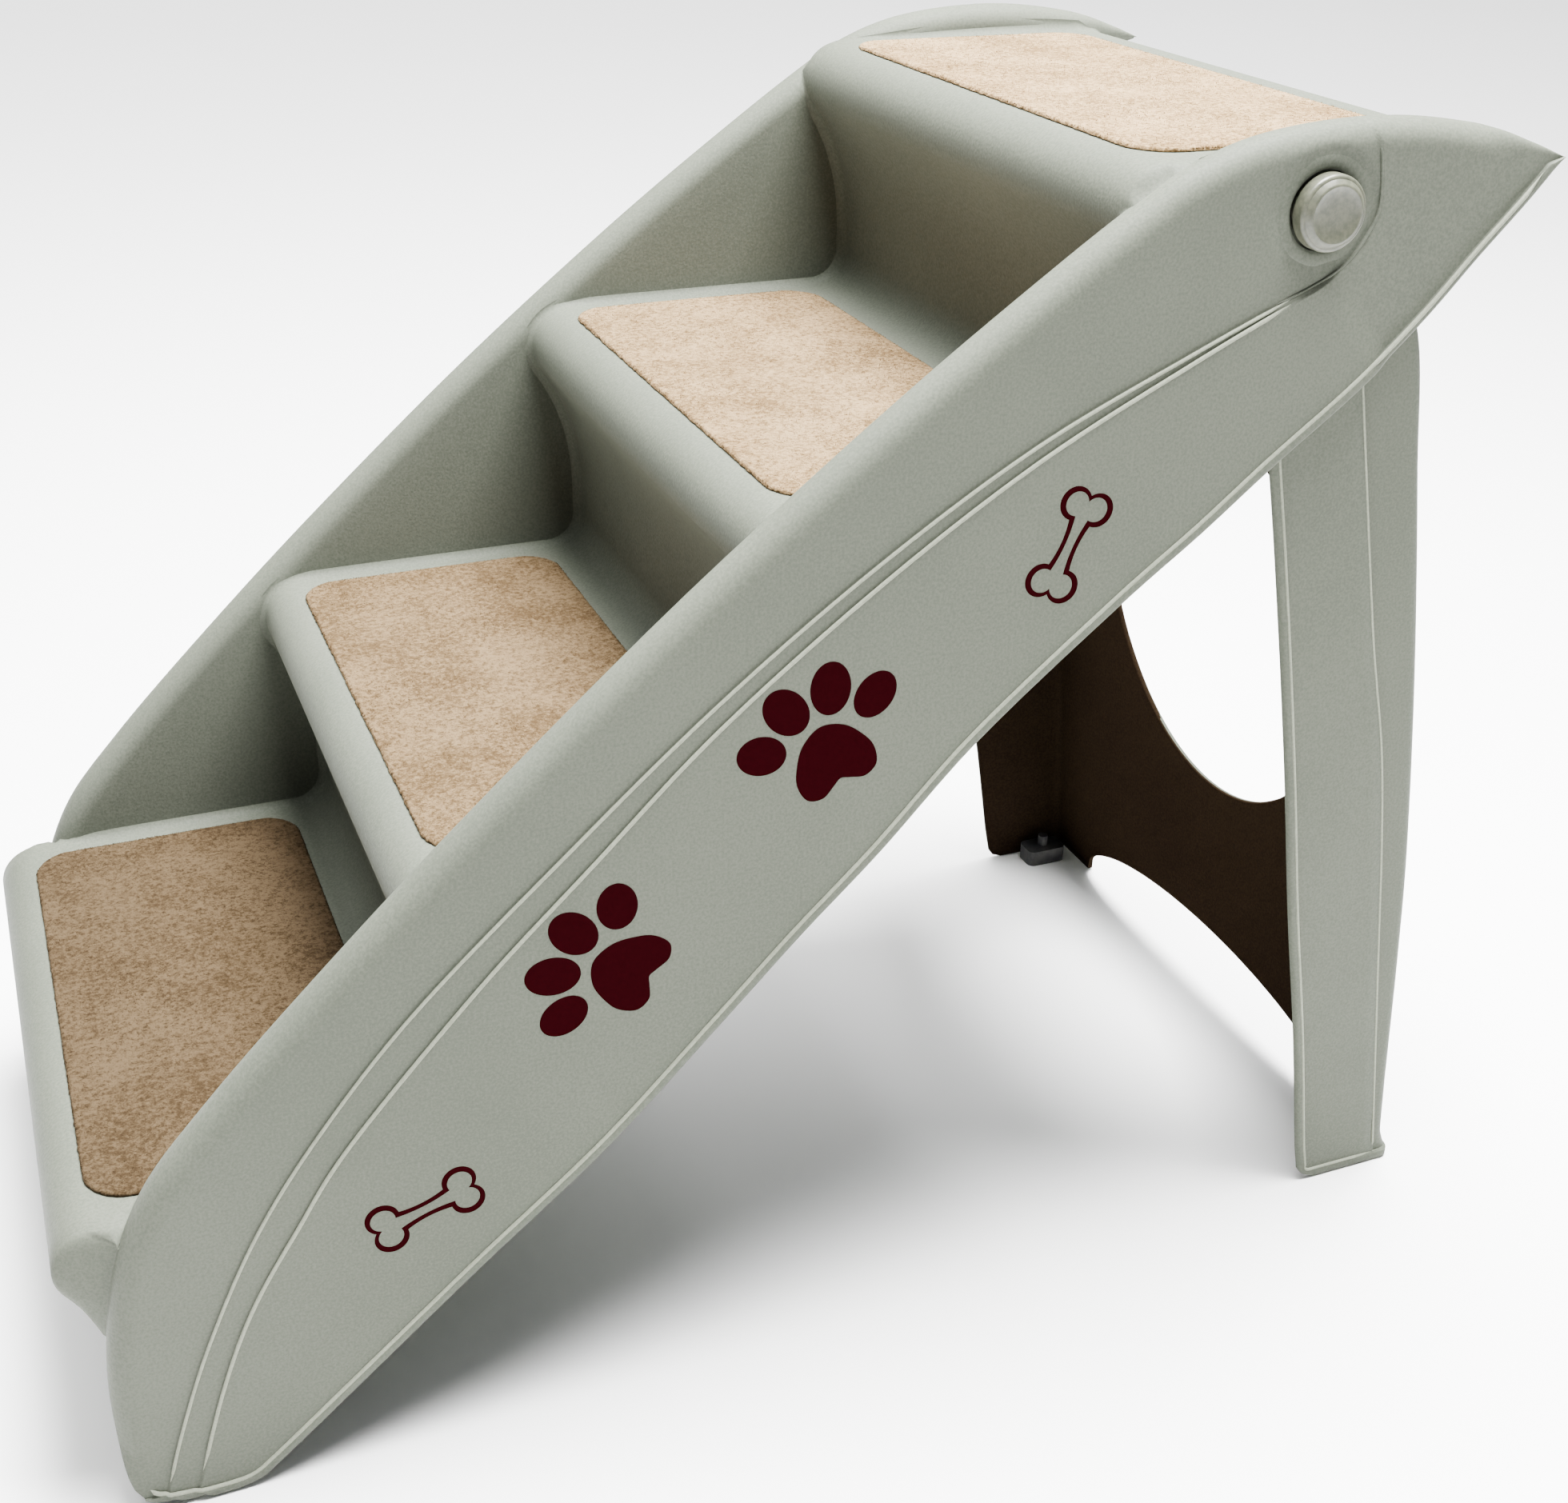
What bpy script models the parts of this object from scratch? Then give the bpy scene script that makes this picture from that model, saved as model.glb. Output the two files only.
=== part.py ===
"""Folding four-step stairs for a small dog or cat.

One moulded stair shell carries four glued carpet treads.  A U-shaped rear leg turns on two
stub pins under the top step and folds up between the side panels.  Each hinge is held by a
spring-loaded push button whose plunger keys the leg to the shell.

Frame: +X towards the high end, +Y across, +Z up, metres.  The origin is on the floor, at the
middle of the length and of the width.  "left" is the +Y side and "right" the -Y side.
"""
import math

import bmesh
import bpy
import numpy as np
from mathutils import Matrix, Vector

# ---------------------------------------------------------------- driving dimensions (metres)
WALL = 0.0028                 # moulded wall thickness
GAP = 0.0003                  # air between touching pieces
FOOT_STANDOFF = 0.001         # the plastic stands this far above the floor

HALF_WIDTH = 0.174            # outer face of a side panel
RAIL_INNER = 0.1515           # face of a rail that looks at the treads
RAIL_ROUND = 0.010            # rounding of the rail's two top edges
STAIR_HALF = RAIL_INNER + WALL / 2   # the stair sheet ends inside the rails' inner walls

TREAD_FRONT = (-0.295, -0.153, -0.011, 0.134)   # front edge of each carpet
TREAD_TOP = (0.130, 0.255, 0.380, 0.4995)       # plastic tread levels
NOSE_RADIUS = 0.0185
NOSE_CENTRE = (0.002, -0.0185)                  # from a carpet's front edge at tread level
NOSE_END_ANGLE = 215.0                          # degrees, where the nose meets the riser
RISER_SETBACK = 0.0055                          # riser foot behind the carpet's front edge
COVE_RADIUS = 0.018
RISER_CURVE = 0.035            # height over which a riser curves out to its nose
DECK_REAR = 0.284
DECK_ROUND = 0.009
APRON_BOTTOM = 0.476
FRONT_WALL_BOTTOM = 0.008

CARPET_HALF_WIDTH = 0.14025
CARPET_DEPTH = 0.127
CARPET_THICKNESS = 0.0017
CARPET_CORNER = 0.019

PIVOT_X, PIVOT_Z = 0.196, 0.481
FOLD_ANGLE = 52.0             # degrees the leg turns between open and folded

LEG_OUTER = 0.1690            # outer face of a leg flange
LEG_PANEL_TOP = 0.385         # upper edge of the leg's cross panel
LEG_HOLE = (0.104, 0.107, 0.238)   # half width, half height, centre height of the round window
LEG_ARCH = (0.132, 0.040)     # half width and height of the arch between the feet
LEG_EAR_RADIUS = 0.0240
LEG_CUT = (0.10, 0.35, 0.55)  # the cutters of the leg run from and to these x, and up to this z

# Hinge stations along Y, measured outwards from the middle plane.
WELL_FLOOR = (0.1636, 0.1664)       # keyed floor of the shell's button well
WELL_SKIN = 0.0008                  # part of that floor left round, which stops the plunger
WELL_RADIUS, WELL_OUTER = 0.0174, 0.0208
RECESS_RADIUS, RECESS_FLOOR = 0.0200, 0.1726
POCKET_RADIUS = 0.0213              # pocket in the leg that turns on the shell's well
POCKET_FLOOR = (0.1604, 0.1632)
DRUM_RADIUS, DRUM_FLOOR = 0.0176, (0.1548, 0.1564)
KEY_BORE, KEY_SLOT_RADIUS = 0.0123, 0.0150
LUG_RADIUS, LUG_HALF_ANGLE = 0.0147, 8.0
LUG_SPAN = (0.1612, 0.1653)
LUG_ROOT = 0.0008                   # a lug starts this far inside the stem
LUG_CENTRES = (90.0, 210.0, 330.0)  # degrees in the XZ plane
KEY_PLAY = 1.6                      # degrees of play beside a lug
PLUNGER_RADIUS, PLUNGER_SPAN = 0.0120, (0.1610, 0.1709)
PLUNGER_POCKET = (0.0102, 0.1680)   # radius, and the level of its floor
PEG_RADIUS, PEG_END = 0.0040, 0.1684
CAP_RADIUS, CAP_SPAN = 0.0166, (0.1712, 0.1789)
CAP_WALL = 0.0022
PIN_RADIUS, PIN_HOLE = 0.0037, 0.0040
PIN_HEAD_RADIUS, PIN_HEAD = 0.0080, (0.1488, 0.1512)
PIN_END = 0.1595
CLIP_RADIUS, CLIP_SPAN = 0.0066, (0.1567, 0.1577)
SPRING_RADIUS, SPRING_WIRE, SPRING_SPAN = 0.0088, 0.00055, (0.1567, 0.1677)
SPRING_TURNS = 4

NOSE_CAP_DEPTH = 0.030        # how far a nose's end plate reaches back under the tread
LOWER_FLANGE = (0.012, -0.014)      # shift that leaves the flange along a panel's lower edge
PIN_EAR_RADIUS = 0.019
BELOW_FLOOR = -0.05           # cutters that run out under the stairs end here
CUT_MARGIN = 0.001            # a cutter runs this far past a face

SHELF_LEVEL = 0.010           # underside of the shelf that a rubber foot plugs into
FRONT_SHELF = (-0.2925, -0.2480)
REAR_SHELF, REAR_SHELF_INNER = (0.2680, 0.3070), 0.1440
FRONT_FOOT = (-0.286, -0.256, 0.1555, 0.1700)   # x and y limits of a front foot
REAR_FOOT = (0.276, 0.3010, 0.1485, 0.1645)     # x and y limits of a rear foot
STUD_RADIUS, STUD_TOP, STUD_OVERLAP = 0.0030, 0.0165, 0.004
FOOT_CORNER = 0.004
ROUND_STEPS = 28

SIDES = {"left": 1, "right": -1}
MOVING = ("rear_leg", *(f"{word}_{piece}" for word in SIDES for piece in (
    "rear_foot", "push_button", "lock_plunger", "lock_spring", "pivot_pin", "retaining_clip")))

PLASTIC = ((0.50, 0.52, 0.46), 0.55)
CARPET = ((0.62, 0.50, 0.38), 0.95)
RUBBER = ((0.05, 0.05, 0.05), 0.80)
STEEL = ((0.55, 0.55, 0.56), 0.30)
BUTTON = ((0.42, 0.42, 0.36), 0.40)


# ---------------------------------------------------------------- scene helpers
def clear_scene():
    for obj in list(bpy.data.objects):
        bpy.data.objects.remove(obj, do_unlink=True)


def collection(name):
    group = bpy.data.collections.new(name)
    bpy.context.scene.collection.children.link(group)
    return group


def finish_material(name, finish, metallic=0.0):
    colour, roughness = finish
    material = bpy.data.materials.new(name)
    material.use_nodes = True
    shader = material.node_tree.nodes["Principled BSDF"]
    shader.inputs["Base Color"].default_value = (*colour, 1.0)
    shader.inputs["Roughness"].default_value = roughness
    shader.inputs["Metallic"].default_value = metallic
    return material


def baked(obj):
    """Replace an object by a plain mesh object of its evaluated, welded shape, placed in world."""
    bpy.context.view_layer.update()
    graph = bpy.context.evaluated_depsgraph_get()
    mesh = bpy.data.meshes.new_from_object(obj.evaluated_get(graph))
    mesh.transform(obj.matrix_world)
    name, group = obj.name, obj.users_collection[0]
    bpy.data.objects.remove(obj, do_unlink=True)
    cleaner = bmesh.new()
    cleaner.from_mesh(mesh)
    bmesh.ops.remove_doubles(cleaner, verts=cleaner.verts, dist=1e-5)
    bmesh.ops.dissolve_limit(cleaner, angle_limit=math.radians(0.05), verts=cleaner.verts,
                             edges=cleaner.edges)
    bmesh.ops.recalc_face_normals(cleaner, faces=cleaner.faces)
    cleaner.to_mesh(mesh)
    cleaner.free()
    solid = bpy.data.objects.new(name, mesh)
    group.objects.link(solid)
    return solid


def hide_tool(obj):
    obj.hide_render = True
    obj.display_type = "WIRE"


def combine(target, tools, operation):
    """Add one Boolean for each tool; the tools stay hidden in their own collection."""
    for tool in tools:
        hide_tool(tool)
        step = target.modifiers.new(operation.lower(), "BOOLEAN")
        step.operation = operation
        step.solver = "EXACT"
        step.object = tool


def dress(obj, material, smooth_angle=None):
    obj.data.materials.clear()
    obj.data.materials.append(material)
    if smooth_angle:
        obj.data.shade_smooth()
        obj.data.set_sharp_from_angle(angle=math.radians(smooth_angle))


def put_origin(obj, point):
    """Move an object's origin without moving its shape."""
    obj.data.transform(Matrix.Translation(-Vector(point)))
    obj.location = point


# ---------------------------------------------------------------- outline helpers (XZ plane)
def arc(centre, radius, start, end, steps):
    angles = np.radians(np.linspace(start, end, steps + 1))
    return [(centre[0] + radius * math.cos(a), centre[1] + radius * math.sin(a)) for a in angles]


def smooth_run(points, steps):
    """Catmull-Rom curve through the points, with the given number of steps in each span."""
    p = np.array([2 * np.array(points[0]) - np.array(points[1]), *points,
                  2 * np.array(points[-1]) - np.array(points[-2])])
    run = []
    for i in range(1, len(p) - 2):
        for t in np.arange(steps) / steps:
            run.append(tuple(0.5 * (2 * p[i] + (p[i + 1] - p[i - 1]) * t
                                    + (2 * p[i - 1] - 5 * p[i] + 4 * p[i + 1] - p[i + 2]) * t ** 2
                                    + (3 * p[i] - p[i - 1] - 3 * p[i + 1] + p[i + 2]) * t ** 3)))
    run.append(tuple(points[-1]))
    return run


def offset_run(points, distance):
    """Parallel copy of an open run, to the right of its direction for a positive distance."""
    p = np.array(points)
    step = np.diff(p, axis=0)
    normal = np.stack([step[:, 1], -step[:, 0]], axis=1)
    normal /= np.linalg.norm(normal, axis=1)[:, None]
    corner = np.vstack([normal[:1], normal[:-1] + normal[1:], normal[-1:]])
    corner /= np.linalg.norm(corner, axis=1)[:, None]
    facing = np.einsum("ij,ij->i", corner, np.vstack([normal[:1], normal]))
    return [tuple(q) for q in p + corner * (distance / np.maximum(facing, 0.5))[:, None]]


def quadratic(start, control, end, steps):
    t = (np.arange(1, steps) / steps)[:, None]
    a, b, c = np.array(start), np.array(control), np.array(end)
    return [tuple(q) for q in (1 - t) ** 2 * a + 2 * t * (1 - t) * b + t ** 2 * c]


def circle(centre, radius, steps=ROUND_STEPS):
    return arc(centre, radius, 0.0, 360.0, steps)[:-1]


def slotted_circle(radius, slot_radius, slots, steps=3):
    """Circle about the pivot with slots, each a (start, end) pair of angles in rising order."""
    outline = []
    for i, (start, end) in enumerate(slots):
        following = slots[(i + 1) % len(slots)][0]
        following += 360.0 if following < end else 0.0
        outline += arc((PIVOT_X, PIVOT_Z), slot_radius, start, end, 2 * steps)
        outline += arc((PIVOT_X, PIVOT_Z), radius, end, following, 3 * steps)
    return outline


def plate(name, group, outlines, low, high):
    """Flat plate between two levels of Y from closed outlines in XZ; inner outlines are holes."""
    curve = bpy.data.curves.new(name, "CURVE")
    curve.dimensions = "2D"
    curve.fill_mode = "BOTH"
    curve.extrude = abs(high - low) / 2
    for outline in outlines:
        spline = curve.splines.new("POLY")
        spline.points.add(len(outline) - 1)
        spline.points.foreach_set("co", np.array([(x, z, 0.0, 1.0) for x, z in outline]).ravel())
        spline.use_cyclic_u = True
    obj = bpy.data.objects.new(name, curve)
    obj.rotation_euler = (math.pi / 2, 0.0, 0.0)
    obj.location = (0.0, (low + high) / 2, 0.0)
    group.objects.link(obj)
    return baked(obj)


def side_plate(name, group, outlines, inner, outer, side):
    return plate(name, group, outlines, side * inner, side * outer)


def turned(name, group, profile, side):
    """Turned piece on the hinge axis; the profile is (radius, distance from the middle plane),
    run from the outer end of the axis down the outside to the inner end."""
    mesh = bpy.data.meshes.new(name)
    edges = [(i, i + 1) for i in range(len(profile) - 1)]
    if profile[0][0] > 0.0:
        edges.append((len(profile) - 1, 0))
    mesh.from_pydata([(radius, 0.0, level) for radius, level in profile], edges, [])
    obj = bpy.data.objects.new(name, mesh)
    group.objects.link(obj)
    screw = obj.modifiers.new("turn", "SCREW")
    screw.axis = "Z"
    screw.steps = ROUND_STEPS
    screw.render_steps = ROUND_STEPS
    screw.use_merge_vertices = True
    screw.merge_threshold = 0.00002
    obj.rotation_euler = (-side * math.pi / 2, 0.0, 0.0)
    obj.location = (PIVOT_X, 0.0, PIVOT_Z)
    return baked(obj)


def block(name, group, x, y, z, rounding=0.0):
    """Box between two values on each axis, with rounded upright edges where asked."""
    bpy.ops.mesh.primitive_cube_add(size=1.0)
    obj = bpy.context.active_object
    obj.name = name
    obj.scale = (x[1] - x[0], abs(y[1] - y[0]), z[1] - z[0])
    obj.location = (sum(x) / 2, sum(y) / 2, sum(z) / 2)
    bpy.ops.object.transform_apply(location=True, rotation=False, scale=True)
    for owner in list(obj.users_collection):
        owner.objects.unlink(obj)
    group.objects.link(obj)
    if rounding:
        upright = obj.data.attributes.new("bevel_weight_edge", "FLOAT", "EDGE")
        weights = [float(abs((obj.data.vertices[e.vertices[0]].co
                              - obj.data.vertices[e.vertices[1]].co).z) > 1e-6)
                   for e in obj.data.edges]
        upright.data.foreach_set("value", weights)
        bevel = obj.modifiers.new("corners", "BEVEL")
        bevel.limit_method = "WEIGHT"
        bevel.width = rounding
        bevel.segments = 5
    return obj


# ---------------------------------------------------------------- outlines of the stairs
def side_top_run():
    """From the toe of a side panel, up its front edge and along the rail to the tail tip."""
    front = [(-0.2985, 0.022), (-0.2985, 0.062), (-0.2915, 0.121), (-0.2720, 0.1525)]
    rail = [(-0.192, 0.2355), (-0.089, 0.329), (0.013, 0.4115), (0.089, 0.466),
            (0.140, 0.4985), (0.167, 0.5085), (0.200, 0.513), (0.235, 0.513),
            (0.270, 0.5075), (0.3035, 0.496)]
    return smooth_run(front + rail, 3)


def side_lower_run():
    """From the tail tip, down the lower edge to the heel and round the foot to the toe."""
    edge = [(0.3035, 0.4935), (0.248, 0.4345), (0.118, 0.331), (-0.015, 0.210),
            (-0.118, 0.110), (-0.205, 0.038), (-0.245, 0.005)]
    foot = [(-0.252, FOOT_STANDOFF), (-0.272, 0.0022), (-0.287, 0.0065), (-0.2955, 0.0140)]
    return smooth_run(edge, 3) + foot


def nose_arc(front, top):
    centre = (front + NOSE_CENTRE[0], top + NOSE_CENTRE[1])
    return arc(centre, NOSE_RADIUS, NOSE_END_ANGLE, 90.0, 7)


def nose_cap(front, top):
    """Outline of the plate that closes the end of a nose."""
    nose = offset_run(nose_arc(front, top), WALL / 2)
    back = front + NOSE_CAP_DEPTH
    return nose + [(back, nose[-1][1]), (back, nose[-1][1] - NOSE_CAP_DEPTH),
                   (front + RISER_SETBACK, nose[0][1] - NOSE_CAP_DEPTH)]


def stair_run():
    """Upper surface of the steps, from the foot of the front wall to the foot of the apron."""
    run = [(TREAD_FRONT[0] + RISER_SETBACK, FRONT_WALL_BOTTOM)]
    for i, (front, top) in enumerate(zip(TREAD_FRONT, TREAD_TOP)):
        back = front + RISER_SETBACK
        below = FRONT_WALL_BOTTOM if i == 0 else TREAD_TOP[i - 1]
        if i:
            run += arc((back - COVE_RADIUS, below + COVE_RADIUS), COVE_RADIUS, -90.0, 0.0, 4)
        nose = nose_arc(front, top)
        drop = (back - nose[0][0]) * math.tan(math.radians(270.0 - NOSE_END_ANGLE))
        bend = (back, nose[0][1] - drop)
        straight_end = max(below + COVE_RADIUS, bend[1] - RISER_CURVE)
        run += quadratic((back, straight_end), bend, nose[0], 5)
        run += nose
    deck = (DECK_REAR - DECK_ROUND, TREAD_TOP[-1] - DECK_ROUND)
    return run + arc(deck, DECK_ROUND, 90.0, 0.0, 4) + [(DECK_REAR, APRON_BOTTOM)]


# ---------------------------------------------------------------- the stair shell
def rail_block(name, tools, top_run, lower_run, inner, outer, side, rounding):
    """Solid of one side panel, with both long top edges rounded."""
    solid = side_plate(name, tools, [top_run + lower_run], inner, outer, side)
    top_points = {(round(x, 5), round(z, 5)) for x, z in top_run}
    work = bmesh.new()
    work.from_mesh(solid.data)

    def on_top(vert):
        return (round(vert.co.x, 5), round(vert.co.z, 5)) in top_points

    edges = [e for e in work.edges if on_top(e.verts[0]) and on_top(e.verts[1])
             and abs(e.verts[0].co.y - e.verts[1].co.y) < 1e-6]
    bmesh.ops.bevel(work, geom=edges, offset=rounding, segments=3, profile=0.5, affect="EDGES",
                    clamp_overlap=False)
    bmesh.ops.recalc_face_normals(work, faces=work.faces)
    work.to_mesh(solid.data)
    work.free()
    return solid


def stair_shell(parts, tools, material):
    run = stair_run()
    underside = offset_run(run, WALL)
    shell = plate("stair_shell", parts, [run + underside[::-1]], -STAIR_HALF, STAIR_HALF)

    middle = offset_run(run, WALL / 2)
    under = middle + [(middle[-1][0], BELOW_FLOOR), (middle[0][0], BELOW_FLOOR)]
    top_run, lower_run = side_top_run(), side_lower_run()
    hollow_top = offset_run(top_run, WALL)
    hollow_low = [(x + LOWER_FLANGE[0], z + LOWER_FLANGE[1]) for x, z in lower_run]
    hollow_top[0] = (hollow_top[0][0], BELOW_FLOOR)
    hollow_low[-4:] = [(lower_run[-4][0], BELOW_FLOOR)]
    for word, side in SIDES.items():
        rail = rail_block(f"{word}_rail", tools, top_run, lower_run, RAIL_INNER, HALF_WIDTH, side,
                          RAIL_ROUND)
        hollow = rail_block(f"{word}_rail_hollow", tools, hollow_top, hollow_low,
                            RAIL_INNER + WALL, HALF_WIDTH - WALL, side, RAIL_ROUND - WALL)
        below_steps = side_plate(f"{word}_below_steps", tools, [under],
                                 CARPET_HALF_WIDTH, RAIL_INNER + WALL + GAP / 3, side)
        combine(rail, [hollow, below_steps], "DIFFERENCE")
        lobe = arc((PIVOT_X, PIVOT_Z), PIN_EAR_RADIUS, 180.0, 360.0, 10)
        lobe += [(x, TREAD_TOP[-1] - WALL / 2) for x in (lobe[-1][0], lobe[0][0])]
        ear = side_plate(f"{word}_pin_ear", tools, [lobe], RAIL_INNER, RAIL_INNER + WALL, side)
        well = side_plate(f"{word}_well", tools, [circle((PIVOT_X, PIVOT_Z), WELL_OUTER)],
                          WELL_FLOOR[0], HALF_WIDTH - WALL / 2, side)
        shelf = block(f"{word}_foot_shelf", tools, FRONT_SHELF,
                      (side * (RAIL_INNER + WALL / 2), side * (HALF_WIDTH - WALL / 2)),
                      (SHELF_LEVEL, SHELF_LEVEL + WALL))
        caps = [side_plate(f"{word}_nose_cap_{i + 1}", tools, [nose_cap(front, top)],
                           STAIR_HALF - WALL, STAIR_HALF - GAP, side)
                for i, (front, top) in enumerate(zip(TREAD_FRONT, TREAD_TOP))]
        combine(shell, [baked(rail), ear, well, shelf] + caps, "UNION")

        play = KEY_PLAY
        arcs = [(c - LUG_HALF_ANGLE - FOLD_ANGLE - play, c + LUG_HALF_ANGLE + play)
                for c in LUG_CENTRES]
        keyway = side_plate(f"{word}_keyway", tools,
                            [slotted_circle(KEY_BORE, KEY_SLOT_RADIUS, arcs)],
                            WELL_FLOOR[0] - CUT_MARGIN, WELL_FLOOR[1] - WELL_SKIN, side)
        cuts = [keyway]
        for label, radius, inner, outer in (
                ("bore", KEY_BORE, WELL_FLOOR[0] - CUT_MARGIN, WELL_FLOOR[1] + CUT_MARGIN),
                ("well_hollow", WELL_RADIUS, WELL_FLOOR[1], HALF_WIDTH + CUT_MARGIN),
                ("recess", RECESS_RADIUS, RECESS_FLOOR, HALF_WIDTH + 2 * CUT_MARGIN),
                ("pin_hole", PIN_HOLE, RAIL_INNER - CUT_MARGIN, RAIL_INNER + WALL + GAP)):
            cuts.append(side_plate(f"{word}_{label}", tools,
                                   [circle((PIVOT_X, PIVOT_Z), radius)], inner, outer, side))
        cuts.append(foot_stud(f"{word}_front_stud_hole", tools, FRONT_FOOT, side, GAP))
        combine(shell, cuts, "DIFFERENCE")
    dress(shell, material, 35.0)
    return shell


# ---------------------------------------------------------------- carpets and feet
def carpet(index, parts, material):
    front, top = TREAD_FRONT[index], TREAD_TOP[index]
    mat = block(f"tread_carpet_{index + 1}", parts, (front, front + CARPET_DEPTH),
                (-CARPET_HALF_WIDTH, CARPET_HALF_WIDTH),
                (top + GAP, top + GAP + CARPET_THICKNESS), CARPET_CORNER)
    mat.data.materials.append(material)


def foot_stud(name, group, limits, side, extra):
    x0, x1, y0, y1 = limits
    bpy.ops.mesh.primitive_cylinder_add(vertices=16, radius=STUD_RADIUS + extra,
                                        depth=STUD_TOP - SHELF_LEVEL + STUD_OVERLAP,
                                        location=((x0 + x1) / 2, side * (y0 + y1) / 2,
                                                  (STUD_TOP + SHELF_LEVEL - STUD_OVERLAP) / 2))
    stud = bpy.context.active_object
    stud.name = name
    for owner in list(stud.users_collection):
        owner.objects.unlink(stud)
    group.objects.link(stud)
    return stud


def rubber_foot(name, parts, tools, limits, side, material):
    """Rounded pad on the floor with a stud that plugs into the shelf above it."""
    x0, x1, y0, y1 = limits
    pad = block(name, parts, (x0, x1), (side * y0, side * y1), (0.0, SHELF_LEVEL - GAP), FOOT_CORNER)
    combine(pad, [foot_stud(f"{name}_stud", tools, limits, side, 0.0)], "UNION")
    pad.data.materials.append(material)


# ---------------------------------------------------------------- the rear leg
def leg_front_run():
    """Front edge of a leg flange, from the foot up to the hinge ear."""
    points = [(0.2530, 0.0215), (0.2420, 0.090), (0.2180, 0.224), (0.1960, 0.340),
              (0.1820, 0.410), (PIVOT_X - LEG_EAR_RADIUS, PIVOT_Z)]
    return [(0.2640, FOOT_STANDOFF), (0.2570, 0.0065)] + smooth_run(points, 3)


def leg_rear_run():
    """Rear edge of a leg flange, from the hinge ear down to the foot."""
    points = [(PIVOT_X + 0.0225, PIVOT_Z - 0.008), (0.2520, 0.434), (0.2660, 0.365),
              (0.2820, 0.270), (0.2940, 0.182), (0.3040, 0.060), (0.3075, 0.0150)]
    return smooth_run(points, 3) + [(0.3115, 0.0060), (0.3115, FOOT_STANDOFF)]


def rear_leg(parts, tools, material):
    front, rear = leg_front_run(), leg_rear_run()
    ear = arc((PIVOT_X, PIVOT_Z), LEG_EAR_RADIUS, 180.0, -19.0, 12)[1:-1]
    leg = plate("rear_leg", parts, [front + ear + rear], -LEG_OUTER, LEG_OUTER)

    inner = LEG_OUTER - WALL
    channel_edge = offset_run(rear, WALL)
    ahead, behind, overhead = LEG_CUT
    channel_edge[0] = (channel_edge[0][0], overhead)
    channel_edge[-1] = (channel_edge[-1][0], BELOW_FLOOR)
    channel = plate("leg_channel", tools,
                    [channel_edge + [(ahead, BELOW_FLOOR), (ahead, overhead)]], -inner, inner)
    above = block("above_leg_panel", tools, (ahead, behind), (-inner, inner),
                  (LEG_PANEL_TOP, overhead))
    half_width, half_height, height = LEG_HOLE
    angles = np.radians(np.arange(0, 360, 10))
    window = cross_cutter("leg_window", tools, [(half_width * math.cos(a),
                                                 height + half_height * math.sin(a))
                                                for a in angles])
    half_span, rise = LEG_ARCH
    angles = np.radians(np.arange(0, 181, 12))
    arch = [(half_span * math.cos(a), FOOT_STANDOFF + rise * math.sin(a)) for a in angles]
    arch = cross_cutter("leg_arch", tools, arch + [(-half_span, BELOW_FLOOR), (half_span, BELOW_FLOOR)])
    combine(leg, [channel, above, window, arch], "DIFFERENCE")

    for word, side in SIDES.items():
        pocket = side_plate(f"{word}_leg_cup", tools,
                            [circle((PIVOT_X, PIVOT_Z), LEG_EAR_RADIUS - GAP)],
                            POCKET_FLOOR[0], LEG_OUTER - WALL / 2, side)
        drum = side_plate(f"{word}_leg_drum", tools, [circle((PIVOT_X, PIVOT_Z), DRUM_RADIUS)],
                          DRUM_FLOOR[0], POCKET_FLOOR[1] - GAP, side)
        shelf = block(f"{word}_heel_shelf", tools, REAR_SHELF,
                      (side * REAR_SHELF_INNER, side * (LEG_OUTER - WALL / 2)),
                      (SHELF_LEVEL, SHELF_LEVEL + WALL))
        combine(leg, [pocket, drum, shelf], "UNION")
        slots = [(c - LUG_HALF_ANGLE - KEY_PLAY, c + LUG_HALF_ANGLE + KEY_PLAY)
                 for c in LUG_CENTRES]
        cuts = [side_plate(f"{word}_leg_keyway", tools,
                           [slotted_circle(KEY_BORE, KEY_SLOT_RADIUS, slots)],
                           DRUM_FLOOR[1], POCKET_FLOOR[1] + CUT_MARGIN, side)]
        for label, radius, low, high in (
                ("leg_cup_hollow", POCKET_RADIUS, POCKET_FLOOR[1], LEG_OUTER + CUT_MARGIN),
                ("leg_pin_hole", PIN_HOLE, DRUM_FLOOR[0] - CUT_MARGIN, DRUM_FLOOR[1] + CUT_MARGIN)):
            cuts.append(side_plate(f"{word}_{label}", tools,
                                   [circle((PIVOT_X, PIVOT_Z), radius)], low, high, side))
        cuts.append(foot_stud(f"{word}_rear_stud_hole", tools, REAR_FOOT, side, GAP))
        combine(leg, cuts, "DIFFERENCE")
    dress(leg, material, 35.0)
    return leg


def cross_cutter(name, group, outline):
    """Cutter along X from an outline in the YZ plane, through the leg's cross panel."""
    curve = bpy.data.curves.new(name, "CURVE")
    curve.dimensions = "2D"
    curve.fill_mode = "BOTH"
    curve.extrude = (LEG_CUT[1] - LEG_CUT[0]) / 4
    spline = curve.splines.new("POLY")
    spline.points.add(len(outline) - 1)
    spline.points.foreach_set("co", np.array([(y, z, 0.0, 1.0) for y, z in outline]).ravel())
    spline.use_cyclic_u = True
    obj = bpy.data.objects.new(name, curve)
    obj.rotation_euler = (math.pi / 2, 0.0, math.pi / 2)
    obj.location = (LEG_CUT[1] - curve.extrude, 0.0, 0.0)
    group.objects.link(obj)
    return baked(obj)


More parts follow.
